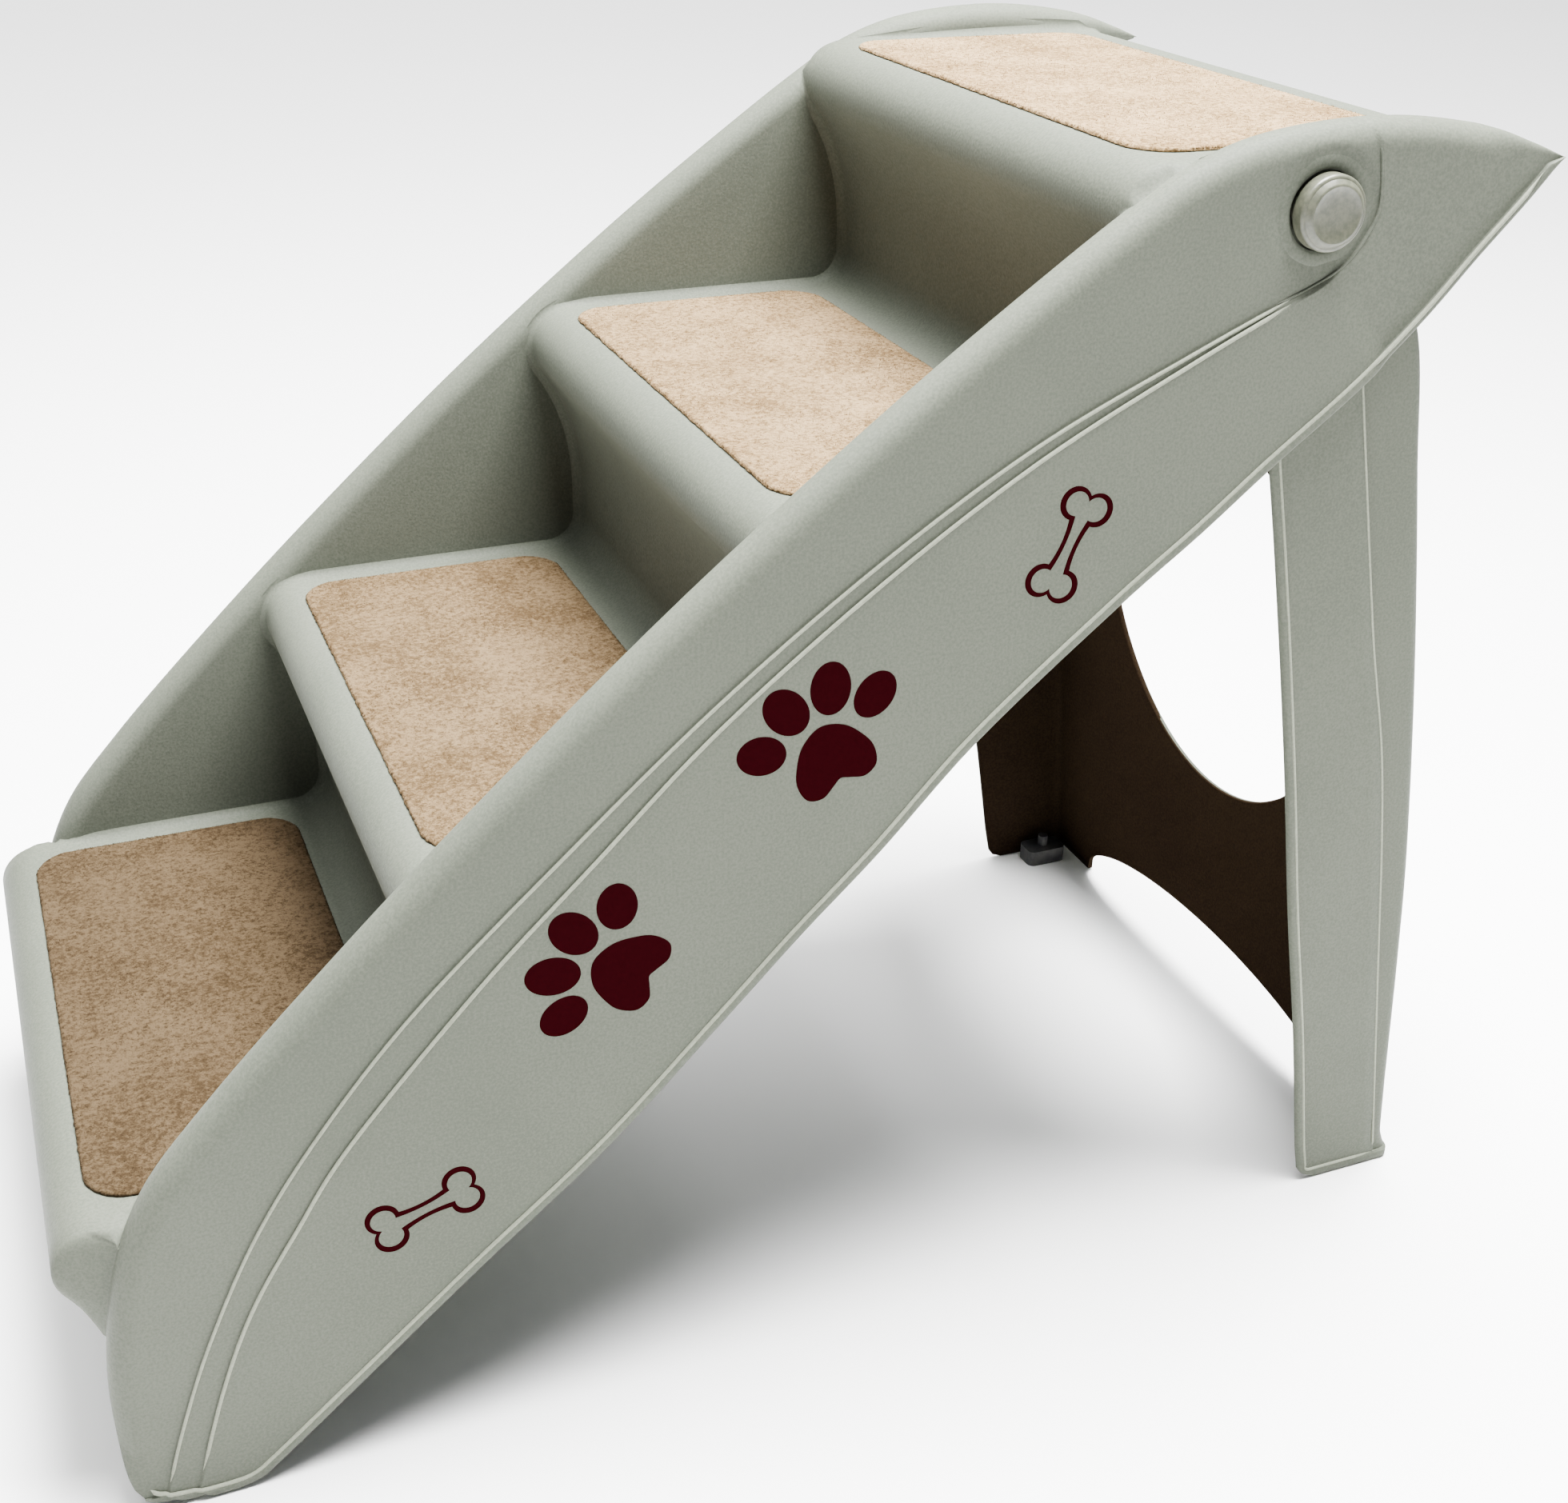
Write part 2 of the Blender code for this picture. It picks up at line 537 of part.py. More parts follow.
# ---------------------------------------------------------------- the hinge pieces
def lock_plunger(word, side, parts, tools, material):
    """Hollow stem with three lugs that key the leg to the shell."""
    inner, outer = PLUNGER_SPAN
    pocket_radius, pocket_floor = PLUNGER_POCKET
    profile = [(PEG_RADIUS + GAP, outer), (PLUNGER_RADIUS, outer), (PLUNGER_RADIUS, inner),
               (pocket_radius, inner), (pocket_radius, pocket_floor),
               (PEG_RADIUS + GAP, pocket_floor)]
    plunger = turned(f"{word}_lock_plunger", parts, profile, side)
    lugs = []
    for i, centre in enumerate(LUG_CENTRES):
        sweep = (centre - LUG_HALF_ANGLE, centre + LUG_HALF_ANGLE)
        sector = arc((PIVOT_X, PIVOT_Z), LUG_RADIUS, *sweep, 3)
        sector += arc((PIVOT_X, PIVOT_Z), PLUNGER_RADIUS - LUG_ROOT, *sweep[::-1], 2)
        lugs.append(side_plate(f"{word}_lug_{i + 1}", tools, [sector], *LUG_SPAN, side))
    combine(plunger, lugs, "UNION")
    dress(plunger, material, 35.0)


def push_button(word, side, parts, material):
    """Round cap with a bevelled rim, a dished face and a peg for the plunger."""
    inner, outer = CAP_SPAN
    dish = [(0.0, outer - 0.0012), (0.0060, outer - 0.0010), (0.0105, outer - 0.0004)]
    profile = dish + [(0.0122, outer), (0.0130, outer), (0.0156, outer - 0.0016),
                      (CAP_RADIUS, outer - 0.0034), (CAP_RADIUS, inner),
                      (CAP_RADIUS - CAP_WALL, inner), (CAP_RADIUS - CAP_WALL, outer - 0.0045),
                      (0.0110, outer - 0.0045), (0.0110, inner), (PEG_RADIUS, inner),
                      (PEG_RADIUS, PEG_END), (0.0, PEG_END)]
    button = turned(f"{word}_push_button", parts, profile, side)
    dress(button, material, 35.0)


def lock_spring(word, side, parts, material):
    """Compression spring with closed ends: the pitch eases off in the first and last turns."""
    low, high = SPRING_SPAN
    steps = 10 * SPRING_TURNS
    turn = np.linspace(0.0, 1.0, steps + 1)
    rise = turn - np.sin(2 * math.pi * turn) / (2 * math.pi) * 0.7
    level = low + SPRING_WIRE + rise * (high - low - 2 * SPRING_WIRE)
    angle = 2 * math.pi * SPRING_TURNS * turn
    curve = bpy.data.curves.new(f"{word}_lock_spring", "CURVE")
    curve.dimensions = "3D"
    curve.bevel_depth = SPRING_WIRE
    curve.bevel_resolution = 1
    curve.use_fill_caps = True
    spline = curve.splines.new("POLY")
    spline.points.add(steps)
    points = np.stack([SPRING_RADIUS * np.cos(angle), SPRING_RADIUS * np.sin(angle), level,
                       np.ones_like(level)], axis=1)
    spline.points.foreach_set("co", points.ravel())
    obj = bpy.data.objects.new(f"{word}_lock_spring", curve)
    obj.rotation_euler = (-side * math.pi / 2, 0.0, 0.0)
    obj.location = (PIVOT_X, 0.0, PIVOT_Z)
    parts.objects.link(obj)
    dress(baked(obj), material, 35.0)


def pivot_pin(word, side, parts, material):
    inner, outer = PIN_HEAD
    profile = [(0.0, PIN_END), (PIN_RADIUS - 0.0006, PIN_END), (PIN_RADIUS, PIN_END - 0.0006),
               (PIN_RADIUS, outer), (PIN_HEAD_RADIUS, outer), (PIN_HEAD_RADIUS, inner + 0.0008),
               (PIN_HEAD_RADIUS - 0.0015, inner), (0.0, inner)]
    dress(turned(f"{word}_pivot_pin", parts, profile, side), material, 35.0)


def retaining_clip(word, side, parts, material):
    inner, outer = CLIP_SPAN
    profile = [(PIN_RADIUS + GAP, outer), (CLIP_RADIUS, outer), (CLIP_RADIUS, inner),
               (PIN_RADIUS + GAP, inner)]
    dress(turned(f"{word}_retaining_clip", parts, profile, side), material, 35.0)


def main():
    clear_scene()
    parts, tools = collection("folding_pet_stairs"), collection("cutters")
    plastic = finish_material("moulded_plastic", PLASTIC)
    leg_plastic = finish_material("leg_plastic", PLASTIC)
    button_plastic = finish_material("button_plastic", BUTTON)
    pile = finish_material("carpet_pile", CARPET)
    rubber = finish_material("foot_rubber", RUBBER)
    steel = finish_material("spring_steel", STEEL, 1.0)

    stair_shell(parts, tools, plastic)
    for index in range(len(TREAD_FRONT)):
        carpet(index, parts, pile)
    rear_leg(parts, tools, leg_plastic)
    for word, side in SIDES.items():
        rubber_foot(f"{word}_front_foot", parts, tools, FRONT_FOOT, side, rubber)
        rubber_foot(f"{word}_rear_foot", parts, tools, REAR_FOOT, side, rubber)
        push_button(word, side, parts, button_plastic)
        lock_plunger(word, side, parts, tools, button_plastic)
        lock_spring(word, side, parts, steel)
        pivot_pin(word, side, parts, steel)
        retaining_clip(word, side, parts, steel)
    for obj in parts.objects:
        if obj.name.startswith(MOVING):
            put_origin(obj, (PIVOT_X, 0.0, PIVOT_Z))


main()
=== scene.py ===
"""Looks for the folding pet stairs: fine surfaces, finishes, light and camera.

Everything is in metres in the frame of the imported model: +X towards the high end, +Y across,
+Z up, with the floor at zero.  The shell, carpets, buttons and rear leg get finely rounded
surfaces in place of their engineering shapes; the hidden hardware keeps its own shape.
"""

import logging
import math
from dataclasses import dataclass
from enum import Enum
from typing import Sequence

import bmesh
import bpy
import numpy as np
from mathutils import Matrix


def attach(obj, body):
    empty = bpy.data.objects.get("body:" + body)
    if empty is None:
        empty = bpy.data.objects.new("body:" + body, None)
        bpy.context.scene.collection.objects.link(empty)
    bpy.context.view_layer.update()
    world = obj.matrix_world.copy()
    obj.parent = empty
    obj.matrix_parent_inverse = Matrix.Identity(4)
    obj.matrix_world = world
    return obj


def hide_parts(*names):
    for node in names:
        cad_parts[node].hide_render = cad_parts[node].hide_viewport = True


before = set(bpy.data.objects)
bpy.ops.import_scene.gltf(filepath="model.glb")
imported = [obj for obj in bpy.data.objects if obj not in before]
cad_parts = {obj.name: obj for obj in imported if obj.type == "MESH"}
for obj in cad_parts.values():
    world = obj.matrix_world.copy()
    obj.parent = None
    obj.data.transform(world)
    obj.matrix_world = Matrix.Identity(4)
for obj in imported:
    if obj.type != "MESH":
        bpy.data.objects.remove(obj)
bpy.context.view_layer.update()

log = logging.getLogger("pet_stairs")

Point = tuple[float, float]
Colour = tuple[float, float, float]

WALL = 0.0028
WELD = 2e-6
RAIL_INNER = 0.1515
PIVOT = (0.196, 0.481)
TREAD_FRONT = (-0.295, -0.153, -0.011, 0.134)
TREAD_TOP = (0.130, 0.255, 0.380, 0.4995)
SIDES = {"left": 1.0, "right": -1.0}


class Body(Enum):
    """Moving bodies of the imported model."""

    STAIRS = "stairs"
    LEG = "leg"
    LEFT_BUTTON = "left_button"
    RIGHT_BUTTON = "right_button"


class Slot(Enum):
    """Material slots of the record, passed along with each new piece."""

    SHELL = "moulded_plastic"
    LEG = "leg_plastic"
    BUTTON = "button_plastic"
    CARPET = "carpet_pile"


# ------------------------------------------------------------------ curves and surfaces
def smoothstep(x: np.ndarray) -> np.ndarray:
    """Ease from 0 to 1 as x goes from 0 to 1."""
    t = np.clip(x, 0.0, 1.0)
    return t * t * (3.0 - 2.0 * t)


def catmull(points: Sequence[Point], steps: int = 12) -> np.ndarray:
    """Smooth curve through points of a plane.

    Args:
        points: The points, in order.
        steps: Steps in each span.

    Returns:
        Array of (x, z) rows.
    """
    p = np.array([2 * np.array(points[0]) - points[1], *points,
                  2 * np.array(points[-1]) - points[-2]], float)
    t = (np.arange(steps) / steps)[:, None]
    spans = [0.5 * (2 * b + (c - a) * t + (2 * a - 5 * b + 4 * c - d) * t ** 2
                    + (3 * b - a - 3 * c + d) * t ** 3)
             for a, b, c, d in zip(p, p[1:], p[2:], p[3:])]
    return np.vstack([*spans, p[-2:-1]])


def closed_catmull(points: Sequence[Point], steps: int = 8) -> np.ndarray:
    """Smooth closed curve through points of a plane.

    Args:
        points: The points, in order.
        steps: Steps in each span.

    Returns:
        Array of (x, z) rows, with the first not repeated.
    """
    p = np.array(points, float)
    t = (np.arange(steps) / steps)[:, None]
    n = len(p)
    spans = []
    for i in range(n):
        a, b, c, d = p[i - 1], p[i], p[(i + 1) % n], p[(i + 2) % n]
        spans.append(0.5 * (2 * b + (c - a) * t + (2 * a - 5 * b + 4 * c - d) * t ** 2
                            + (3 * b - a - 3 * c + d) * t ** 3))
    return np.vstack(spans)


def arc(centre: Point, radius: float, start: float, end: float, steps: int) -> np.ndarray:
    """Points of an arc between two angles in degrees."""
    a = np.radians(np.linspace(start, end, steps + 1))
    return np.stack([centre[0] + radius * np.cos(a), centre[1] + radius * np.sin(a)], axis=1)


def even(points: np.ndarray, spacing: float) -> np.ndarray:
    """Subdivide the long steps of a run so that none is longer than the spacing.

    Args:
        points: Points of the run, in order.
        spacing: Longest step allowed.

    Returns:
        The run with its added points.
    """
    out = [points[:1]]
    for a, b in zip(points, points[1:]):
        count = max(1, math.ceil(np.linalg.norm(b - a) / spacing))
        out.append(a + (b - a) * (np.arange(1, count + 1) / count)[:, None])
    return np.vstack(out)


class Surface:
    """Collects grids and polygons, and makes one welded object of them."""

    def __init__(self) -> None:
        """Start with no points and no faces."""
        self.points: list[np.ndarray] = []
        self.faces: list[Sequence[int]] = []
        self.count = 0

    def add(self, points: np.ndarray) -> int:
        """Store points and return the index of the first.

        Args:
            points: Array whose last axis is x, y, z.

        Returns:
            Index of the first stored point.
        """
        first = self.count
        self.points.append(np.asarray(points, float).reshape(-1, 3))
        self.count += len(self.points[-1])
        return first

    def grid(self, points: np.ndarray, wrap: bool = False) -> None:
        """Add a grid of quads.

        Args:
            points: Array of rows by columns by 3.
            wrap: Join the last column to the first.
        """
        rows, cols = points.shape[:2]
        index = self.add(points) + np.arange(rows * cols).reshape(rows, cols)
        right = np.roll(index, -1, axis=1)
        quads = np.stack([index[:-1], right[:-1], right[1:], index[1:]], axis=-1)
        if not wrap:
            quads = quads[:, :-1]
        self.faces.extend(quads.reshape(-1, 4).tolist())

    def polygon(self, points: np.ndarray) -> None:
        """Add one face."""
        first = self.add(points)
        self.faces.append(list(range(first, self.count)))

    def turn(self, profile: Sequence[Point], side: float, steps: int = 96) -> None:
        """Revolve a closed profile about the hinge axis.

        Args:
            profile: Rows of radius and distance from the middle plane.
            side: 1 for the left side and -1 for the right side.
            steps: Steps around the axis.
        """
        p = np.array([*profile, profile[0]], float)
        a = 2 * math.pi * np.arange(steps) / steps
        ring = np.stack([PIVOT[0] + p[:, :1] * np.cos(a), side * p[:, 1:] + 0 * a,
                         PIVOT[1] + p[:, :1] * np.sin(a)], axis=-1)
        self.grid(ring, wrap=True)

    def build(self, name: str, smooth_angle: float = 50.0, weld: float = WELD) -> bpy.types.Object:
        """Make the object.

        Args:
            name: Name of the piece.
            smooth_angle: Edges sharper than this many degrees stay sharp.
            weld: Points closer than this are joined.

        Returns:
            The new object.
        """
        mesh = bpy.data.meshes.new(name)
        mesh.from_pydata(np.vstack(self.points).tolist(), [], self.faces)
        work = bmesh.new()
        work.from_mesh(mesh)
        bmesh.ops.remove_doubles(work, verts=work.verts, dist=weld)
        bmesh.ops.dissolve_degenerate(work, edges=work.edges, dist=weld)
        bmesh.ops.recalc_face_normals(work, faces=work.faces)
        work.to_mesh(mesh)
        work.free()
        mesh.shade_smooth()
        mesh.set_sharp_from_angle(angle=math.radians(smooth_angle))
        obj = bpy.data.objects.new(name, mesh)
        bpy.context.scene.collection.objects.link(obj)
        return obj


def cut(obj: bpy.types.Object, radius: float, low: float, high: float, side: float) -> None:
    """Bore a round hole on the hinge axis through an object.

    Args:
        obj: Object to bore.
        radius: Radius of the hole.
        low: Nearer end of the bore along the axis.
        high: Farther end of the bore.
        side: 1 for the left side, -1 for the right.
    """
    tool = Surface()
    tool.turn([(0.0, low), (radius, low), (radius, high), (0.0, high)], side, 64)
    bore = tool.build(f"{obj.name}_bore")
    step = obj.modifiers.new("bore", "BOOLEAN")
    step.operation, step.solver, step.object = "DIFFERENCE", "EXACT", bore
    bpy.context.view_layer.update()
    graph = bpy.context.evaluated_depsgraph_get()
    mesh = bpy.data.meshes.new_from_object(obj.evaluated_get(graph))
    obj.modifiers.clear()
    obj.data = mesh
    bpy.data.objects.remove(bore, do_unlink=True)
    tidy = bmesh.new()
    tidy.from_mesh(mesh)
    bmesh.ops.remove_doubles(tidy, verts=tidy.verts, dist=WELD)
    bmesh.ops.dissolve_degenerate(tidy, dist=1e-6, edges=tidy.edges)
    bmesh.ops.holes_fill(tidy, edges=[e for e in tidy.edges if e.is_boundary], sides=0)
    tidy.to_mesh(mesh)
    tidy.free()


# ------------------------------------------------------------------ shader graph
class Signal:
    """A shader output that does arithmetic through Math nodes."""

    def __init__(self, graph: "Graph", socket: bpy.types.NodeSocket) -> None:
        """Keep the graph and the socket."""
        self.graph, self.socket = graph, socket

    def _math(self, operation: str, a: "Signal | float", b: "Signal | float") -> "Signal":
        """One Math node on two values."""
        return self.graph.node("ShaderNodeMath", {"operation": operation}, {0: a, 1: b})

    def __add__(self, other: "Signal | float") -> "Signal":
        """This signal plus another."""
        return self._math("ADD", self, other)

    def __radd__(self, other: "Signal | float") -> "Signal":
        """A number plus this signal."""
        return self._math("ADD", other, self)

    def __sub__(self, other: "Signal | float") -> "Signal":
        """This signal less another."""
        return self._math("SUBTRACT", self, other)

    def __rsub__(self, other: "Signal | float") -> "Signal":
        """A number less this signal."""
        return self._math("SUBTRACT", other, self)

    def __mul__(self, other: "Signal | float") -> "Signal":
        """This signal times another."""
        return self._math("MULTIPLY", self, other)

    def __rmul__(self, other: "Signal | float") -> "Signal":
        """A number times this signal."""
        return self._math("MULTIPLY", other, self)

    def ramp(self, low: float, high: float) -> "Signal":
        """Smooth step from 0 at low to 1 at high."""
        return self.graph.node("ShaderNodeMapRange", {"interpolation_type": "SMOOTHSTEP"},
                               {"Value": self, "From Min": low, "From Max": high})


Value = Signal | Colour | float


class Graph:
    """Node tree of one material."""

    def __init__(self, name: str) -> None:
        """Start a material with a Principled BSDF.

        Args:
            name: Name of the material.
        """
        self.material = bpy.data.materials.new(name)
        self.material.use_nodes = True
        self.tree = self.material.node_tree
        self.shader = self.tree.nodes["Principled BSDF"]

    def link(self, socket: bpy.types.NodeSocket, value: Value) -> None:
        """Link a signal to a socket, or set a constant on it.

        Args:
            socket: Input to feed.
            value: Signal, colour or number.
        """
        if isinstance(value, Signal):
            self.tree.links.new(value.socket, socket)
        elif isinstance(value, tuple) and len(value) == 3 and socket.type == "RGBA":
            socket.default_value = (*value, 1.0)
        else:
            socket.default_value = value

    def node(self, kind: str, settings: dict, inputs: dict, output: int | str = 0) -> Signal:
        """Add any node.

        Args:
            kind: The node's type.
            settings: Properties, set before the inputs.
            inputs: Signals or constants for each input.
            output: Name or number of the output.

        Returns:
            The chosen output.
        """
        made = self.tree.nodes.new(kind)
        for key, value in settings.items():
            setattr(made, key, value)
        for key, value in inputs.items():
            self.link(made.inputs[key], value)
        return Signal(self, made.outputs[output])

    def place(self) -> Signal:
        """Object coordinates in metres."""
        return self.node("ShaderNodeTexCoord", {}, {}, "Object")

    def noise(self, scale: float, detail: float = 4.0, roughness: float = 0.55,
              stretch: Colour | None = None) -> Signal:
        """Noise over the surface, with cells of about one over the scale in metres.

        Args:
            scale: Cells in a metre.
            detail: Layers of finer noise.
            roughness: Strength of each finer layer.
            stretch: Factor on each axis.

        Returns:
            Noise from 0 to 1.
        """
        where = self.place()
        if stretch:
            where = self.node("ShaderNodeVectorMath", {"operation": "MULTIPLY"},
                              {0: where, 1: stretch})
        return self.node("ShaderNodeTexNoise", {}, {"Vector": where, "Scale": scale,
                                                    "Detail": detail, "Roughness": roughness})

    def cells(self, scale: float) -> Signal:
        """Distance to the nearest of many scattered points."""
        return self.node("ShaderNodeTexVoronoi", {}, {"Vector": self.place(), "Scale": scale})

    def mix(self, low: Value, high: Value, factor: Value) -> Signal:
        """Blend two colours."""
        return self.node("ShaderNodeMix", {"data_type": "RGBA"},
                         {"Factor": factor, 6: low, 7: high}, 2)

    def finish(self, colour: Value, roughness: Value, height: Signal | None = None,
               depth: float = 0.0002, strength: float = 1.0,
               **constants: float) -> bpy.types.Material:
        """Set the surface.

        Args:
            colour: Base colour.
            roughness: Roughness.
            height: Height of the fine relief, from 0 to 1.
            depth: Depth of that relief in metres.
            strength: Strength of the relief.
            constants: Other inputs of the shader, with underscores for spaces.

        Returns:
            The material.
        """
        self.link(self.shader.inputs["Base Color"], colour)
        self.link(self.shader.inputs["Roughness"], roughness)
        if height is not None:
            bump = self.node("ShaderNodeBump", {}, {"Height": height, "Distance": depth,
                                                    "Strength": strength})
            self.link(self.shader.inputs["Normal"], bump)
        for key, value in constants.items():
            self.shader.inputs[key.replace("_", " ")].default_value = value
        return self.material


@dataclass(frozen=True)
class MouldedPlastic:
    """Polypropylene from a textured mould, with faint flow marks."""

    name: str
    colour: Colour
    shade: Colour
    grain: float = 850.0
    gloss: float = 0.46
    shine: float = 0.05

    def make(self) -> bpy.types.Material:
        """Build the material.

        Returns:
            The material.
        """
        g = Graph(self.name)
        flow = g.noise(9.0, 3.0, 0.5)
        grain = g.noise(self.grain, 2.0, 0.6)
        pebble = g.cells(self.grain * 0.8)
        speck = g.noise(self.grain * 0.6, 5.0, 0.75).ramp(0.62, 0.80)
        base = g.mix(self.colour, self.shade, (flow * 0.30 + grain * 0.70).ramp(0.34, 0.66))
        base = g.mix(base, tuple(c * 0.72 for c in self.shade), speck * 0.35)
        rough = self.gloss + grain * 0.10 + flow * 0.06
        height = grain * 0.65 + pebble * 0.35
        return g.finish(base, rough, height, 0.00016, 0.55, Specular_IOR_Level=self.shine)


@dataclass(frozen=True)
class CutPile:
    """Short cut-pile carpet, brushed a little unevenly."""

    name: str
    light: Colour
    dark: Colour

    def make(self) -> bpy.types.Material:
        """Build the material.

        Returns:
            The material.
        """
        g = Graph(self.name)
        brushed = g.noise(26.0, 4.0, 0.6)
        tuft = g.noise(520.0, 4.0, 0.8)
        strand = g.cells(900.0)
        base = g.mix(self.dark, self.light, (tuft * 0.80 + brushed * 0.30).ramp(0.44, 0.66))
        # Darker where the pile's relief is low: painted shade in the hollows between tufts.
        hollow_shade = tuple(c * 0.45 for c in self.dark)
        base = g.mix(base, hollow_shade, (1.0 - tuft).ramp(0.54, 0.74) * 0.70)
        height = tuft * 0.7 + strand * 0.3
        return g.finish(base, 0.88 + brushed * 0.08, height, 0.0007, 0.8,
                        Specular_IOR_Level=0.06)


@dataclass(frozen=True)
class PrintInk:
    """Dark print ink on the grained plastic."""

    name: str
    colour: Colour

    def make(self) -> bpy.types.Material:
        """Build the material.

        Returns:
            The material.
        """
        g = Graph(self.name)
        grain = g.noise(800.0, 3.0, 0.6)
        worn = g.noise(160.0, 5.0, 0.7).ramp(0.60, 0.78)
        lighter = tuple(c * 1.8 for c in self.colour)
        base = g.mix(self.colour, lighter, grain * 0.5 + worn * 0.25)
        return g.finish(base, 0.60 + grain * 0.15, grain, 0.0001, 0.5, Specular_IOR_Level=0.0)


@dataclass(frozen=True)
class Rubber:
    """Matt black rubber with a dusty bloom."""

    name: str

    def make(self) -> bpy.types.Material:
        """Build the material.

        Returns:
            The material.
        """
        g = Graph(self.name)
        dust = g.noise(90.0, 5.0, 0.7)
        base = g.mix((0.018, 0.018, 0.019), (0.055, 0.052, 0.048), dust.ramp(0.35, 0.75))
        return g.finish(base, 0.70 + dust * 0.2, g.noise(1200.0), 0.0001, 0.6)


@dataclass(frozen=True)
class PlatedSteel:
    """Zinc-plated steel with fine turning marks."""

    name: str

    def make(self) -> bpy.types.Material:
        """Build the material.

        Returns:
            The material.
        """
        g = Graph(self.name)
        marks = g.noise(400.0, 4.0, 0.6, (1.0, 14.0, 1.0))
        haze = g.noise(120.0, 4.0, 0.6)
        base = g.mix((0.50, 0.51, 0.53), (0.68, 0.68, 0.69), marks * 0.6 + haze * 0.3)
        return g.finish(base, 0.24 + haze * 0.18, marks, 0.00005, 0.4, Metallic=1.0)


@dataclass(frozen=True)
class StudioFloor:
    """Pale seamless floor."""

    name: str

    def make(self) -> bpy.types.Material:
        """Build the material.

        Returns:
            The material.
        """
        g = Graph(self.name)
        broad = g.noise(1.4, 3.0, 0.5)
        base = g.mix((0.90, 0.90, 0.90), (0.93, 0.93, 0.925), broad)
        return g.finish(base, 0.75 + broad * 0.1, g.noise(300.0), 0.0002, 0.1)


# ------------------------------------------------------------------ the stairs' curves
@dataclass(frozen=True)
class SlopeFrame:
    """Turned axes that run along the slope of the stairs (u) and square to it (v)."""

    angle: float = 40.0

    def turned(self, xz: np.ndarray) -> tuple[np.ndarray, np.ndarray]:
        """Coordinates u and v of points."""
        c, s = math.cos(math.radians(self.angle)), math.sin(math.radians(self.angle))
        return xz[..., 0] * c + xz[..., 1] * s, xz[..., 1] * c - xz[..., 0] * s

    def world(self, u: np.ndarray, v: np.ndarray) -> tuple[np.ndarray, np.ndarray]:
        """Coordinates x and z of points."""
        c, s = math.cos(math.radians(self.angle)), math.sin(math.radians(self.angle))
        return u * c - v * s, u * s + v * c

    def height(self, run: np.ndarray, u: np.ndarray, left: float | None = None,
               right: float | None = None) -> np.ndarray:
        """Height v of a run at each u."""
        run_u, run_v = self.turned(run)
        return np.interp(u, np.maximum.accumulate(run_u), run_v, left=left, right=right)


SLOPE = SlopeFrame()
TOE, TIP = (-0.2925, 0.0062), (0.3045, 0.4950)

RAIL_RUN = catmull([TOE, (-0.2960, 0.0120), (-0.2983, 0.026), (-0.2985, 0.060), (-0.2945, 0.093),
                    (-0.2870, 0.122), (-0.2730, 0.1500), (-0.2500, 0.1770), (-0.219, 0.209), (-0.166, 0.260),
                    (-0.114, 0.307), (-0.063, 0.351), (-0.012, 0.392), (0.038, 0.430),
                    (0.089, 0.466), (0.119, 0.486), (0.140, 0.4985), (0.167, 0.508),
                    (0.200, 0.5125), (0.235, 0.5125), (0.270, 0.5075), (0.290, 0.5010), TIP])
LOWER_RUN = catmull([TOE, (-0.2868, 0.0028), (-0.2760, 0.0014), (-0.2600, 0.0010),
                     (-0.2480, 0.0030), (-0.2385, 0.0098), (-0.205, 0.038), (-0.153, 0.082), (-0.097, 0.128),
                     (-0.049, 0.175), (-0.015, 0.209), (0.019, 0.241), (0.061, 0.284),
                     (0.118, 0.331), (0.154, 0.358), (0.184, 0.382), (0.221, 0.410),
                     (0.248, 0.4345), (0.270, 0.458), (0.290, 0.4785), TIP])
SEAM = [(0.206, 0.459), (0.215, 0.469), (0.220, 0.481), (0.218, 0.499), (0.214, 0.5125)]
UPPER_LINE = catmull([(-0.2840, 0.0050), (-0.274, 0.038), (-0.259, 0.078), (-0.237, 0.123),
                      (-0.209, 0.164), (-0.170, 0.209), (-0.112, 0.262), (-0.049, 0.316),
                      (0.015, 0.363), (0.079, 0.402), (0.145, 0.432), (0.196, 0.4535), *SEAM])
LOWER_LINE = catmull([(-0.2725, 0.0030), (-0.257, 0.053), (-0.242, 0.089), (-0.222, 0.122),
                      (-0.198, 0.157), (-0.145, 0.215), (-0.100, 0.258), (-0.049, 0.306),
                      (0.015, 0.355), (0.079, 0.396), (0.145, 0.429), (0.196, 0.4525), *SEAM])


def step_profile() -> np.ndarray:
    """Upper surface of the steps from the front wall's foot to the apron's foot.

    Each riser leans out into a round nose, and each tread meets the next riser in a cove.

    Returns:
        Array of (x, z) rows.
    """
    nose_radius, setback, cove, foot = 0.0185, 0.0055, 0.018, 0.008
    run = [np.array([[TREAD_FRONT[0] + setback, foot]])]
    for i, (front, top) in enumerate(zip(TREAD_FRONT, TREAD_TOP)):
        back, below = front + setback, TREAD_TOP[i - 1] if i else foot
        if i:
            run.append(arc((back - cove, below + cove), cove, -90.0, 0.0, 14))
        nose = arc((front + 0.002, top - nose_radius), nose_radius, 215.0, 90.0, 20)
        bend = np.array([back, nose[0, 1] - (back - nose[0, 0]) * math.tan(math.radians(55.0))])
        start = np.array([back, max(below + cove, bend[1] - 0.035)])
        t = (np.arange(14) / 14)[:, None]
        run.append((1 - t) ** 2 * start + 2 * t * (1 - t) * bend + t ** 2 * nose[0])
        run.append(nose)
    run.append(arc((0.275, TREAD_TOP[-1] - 0.009), 0.009, 90.0, 0.0, 12))
    run.append(np.array([[0.284, 0.476]]))
    return even(np.vstack(run), 0.006)


PROFILE = step_profile()
RAIL_ROUNDING = 0.010
APRON_START, APRON_HALF_WIDTH = 0.27, 0.1550
LAP = 0.0008
LOWEST_NOSE, SETTLED_SIZE, SETTLED_GAP = (-0.280, 0.100), 0.82, 0.0006
RAIL_FRONT_END = -0.25


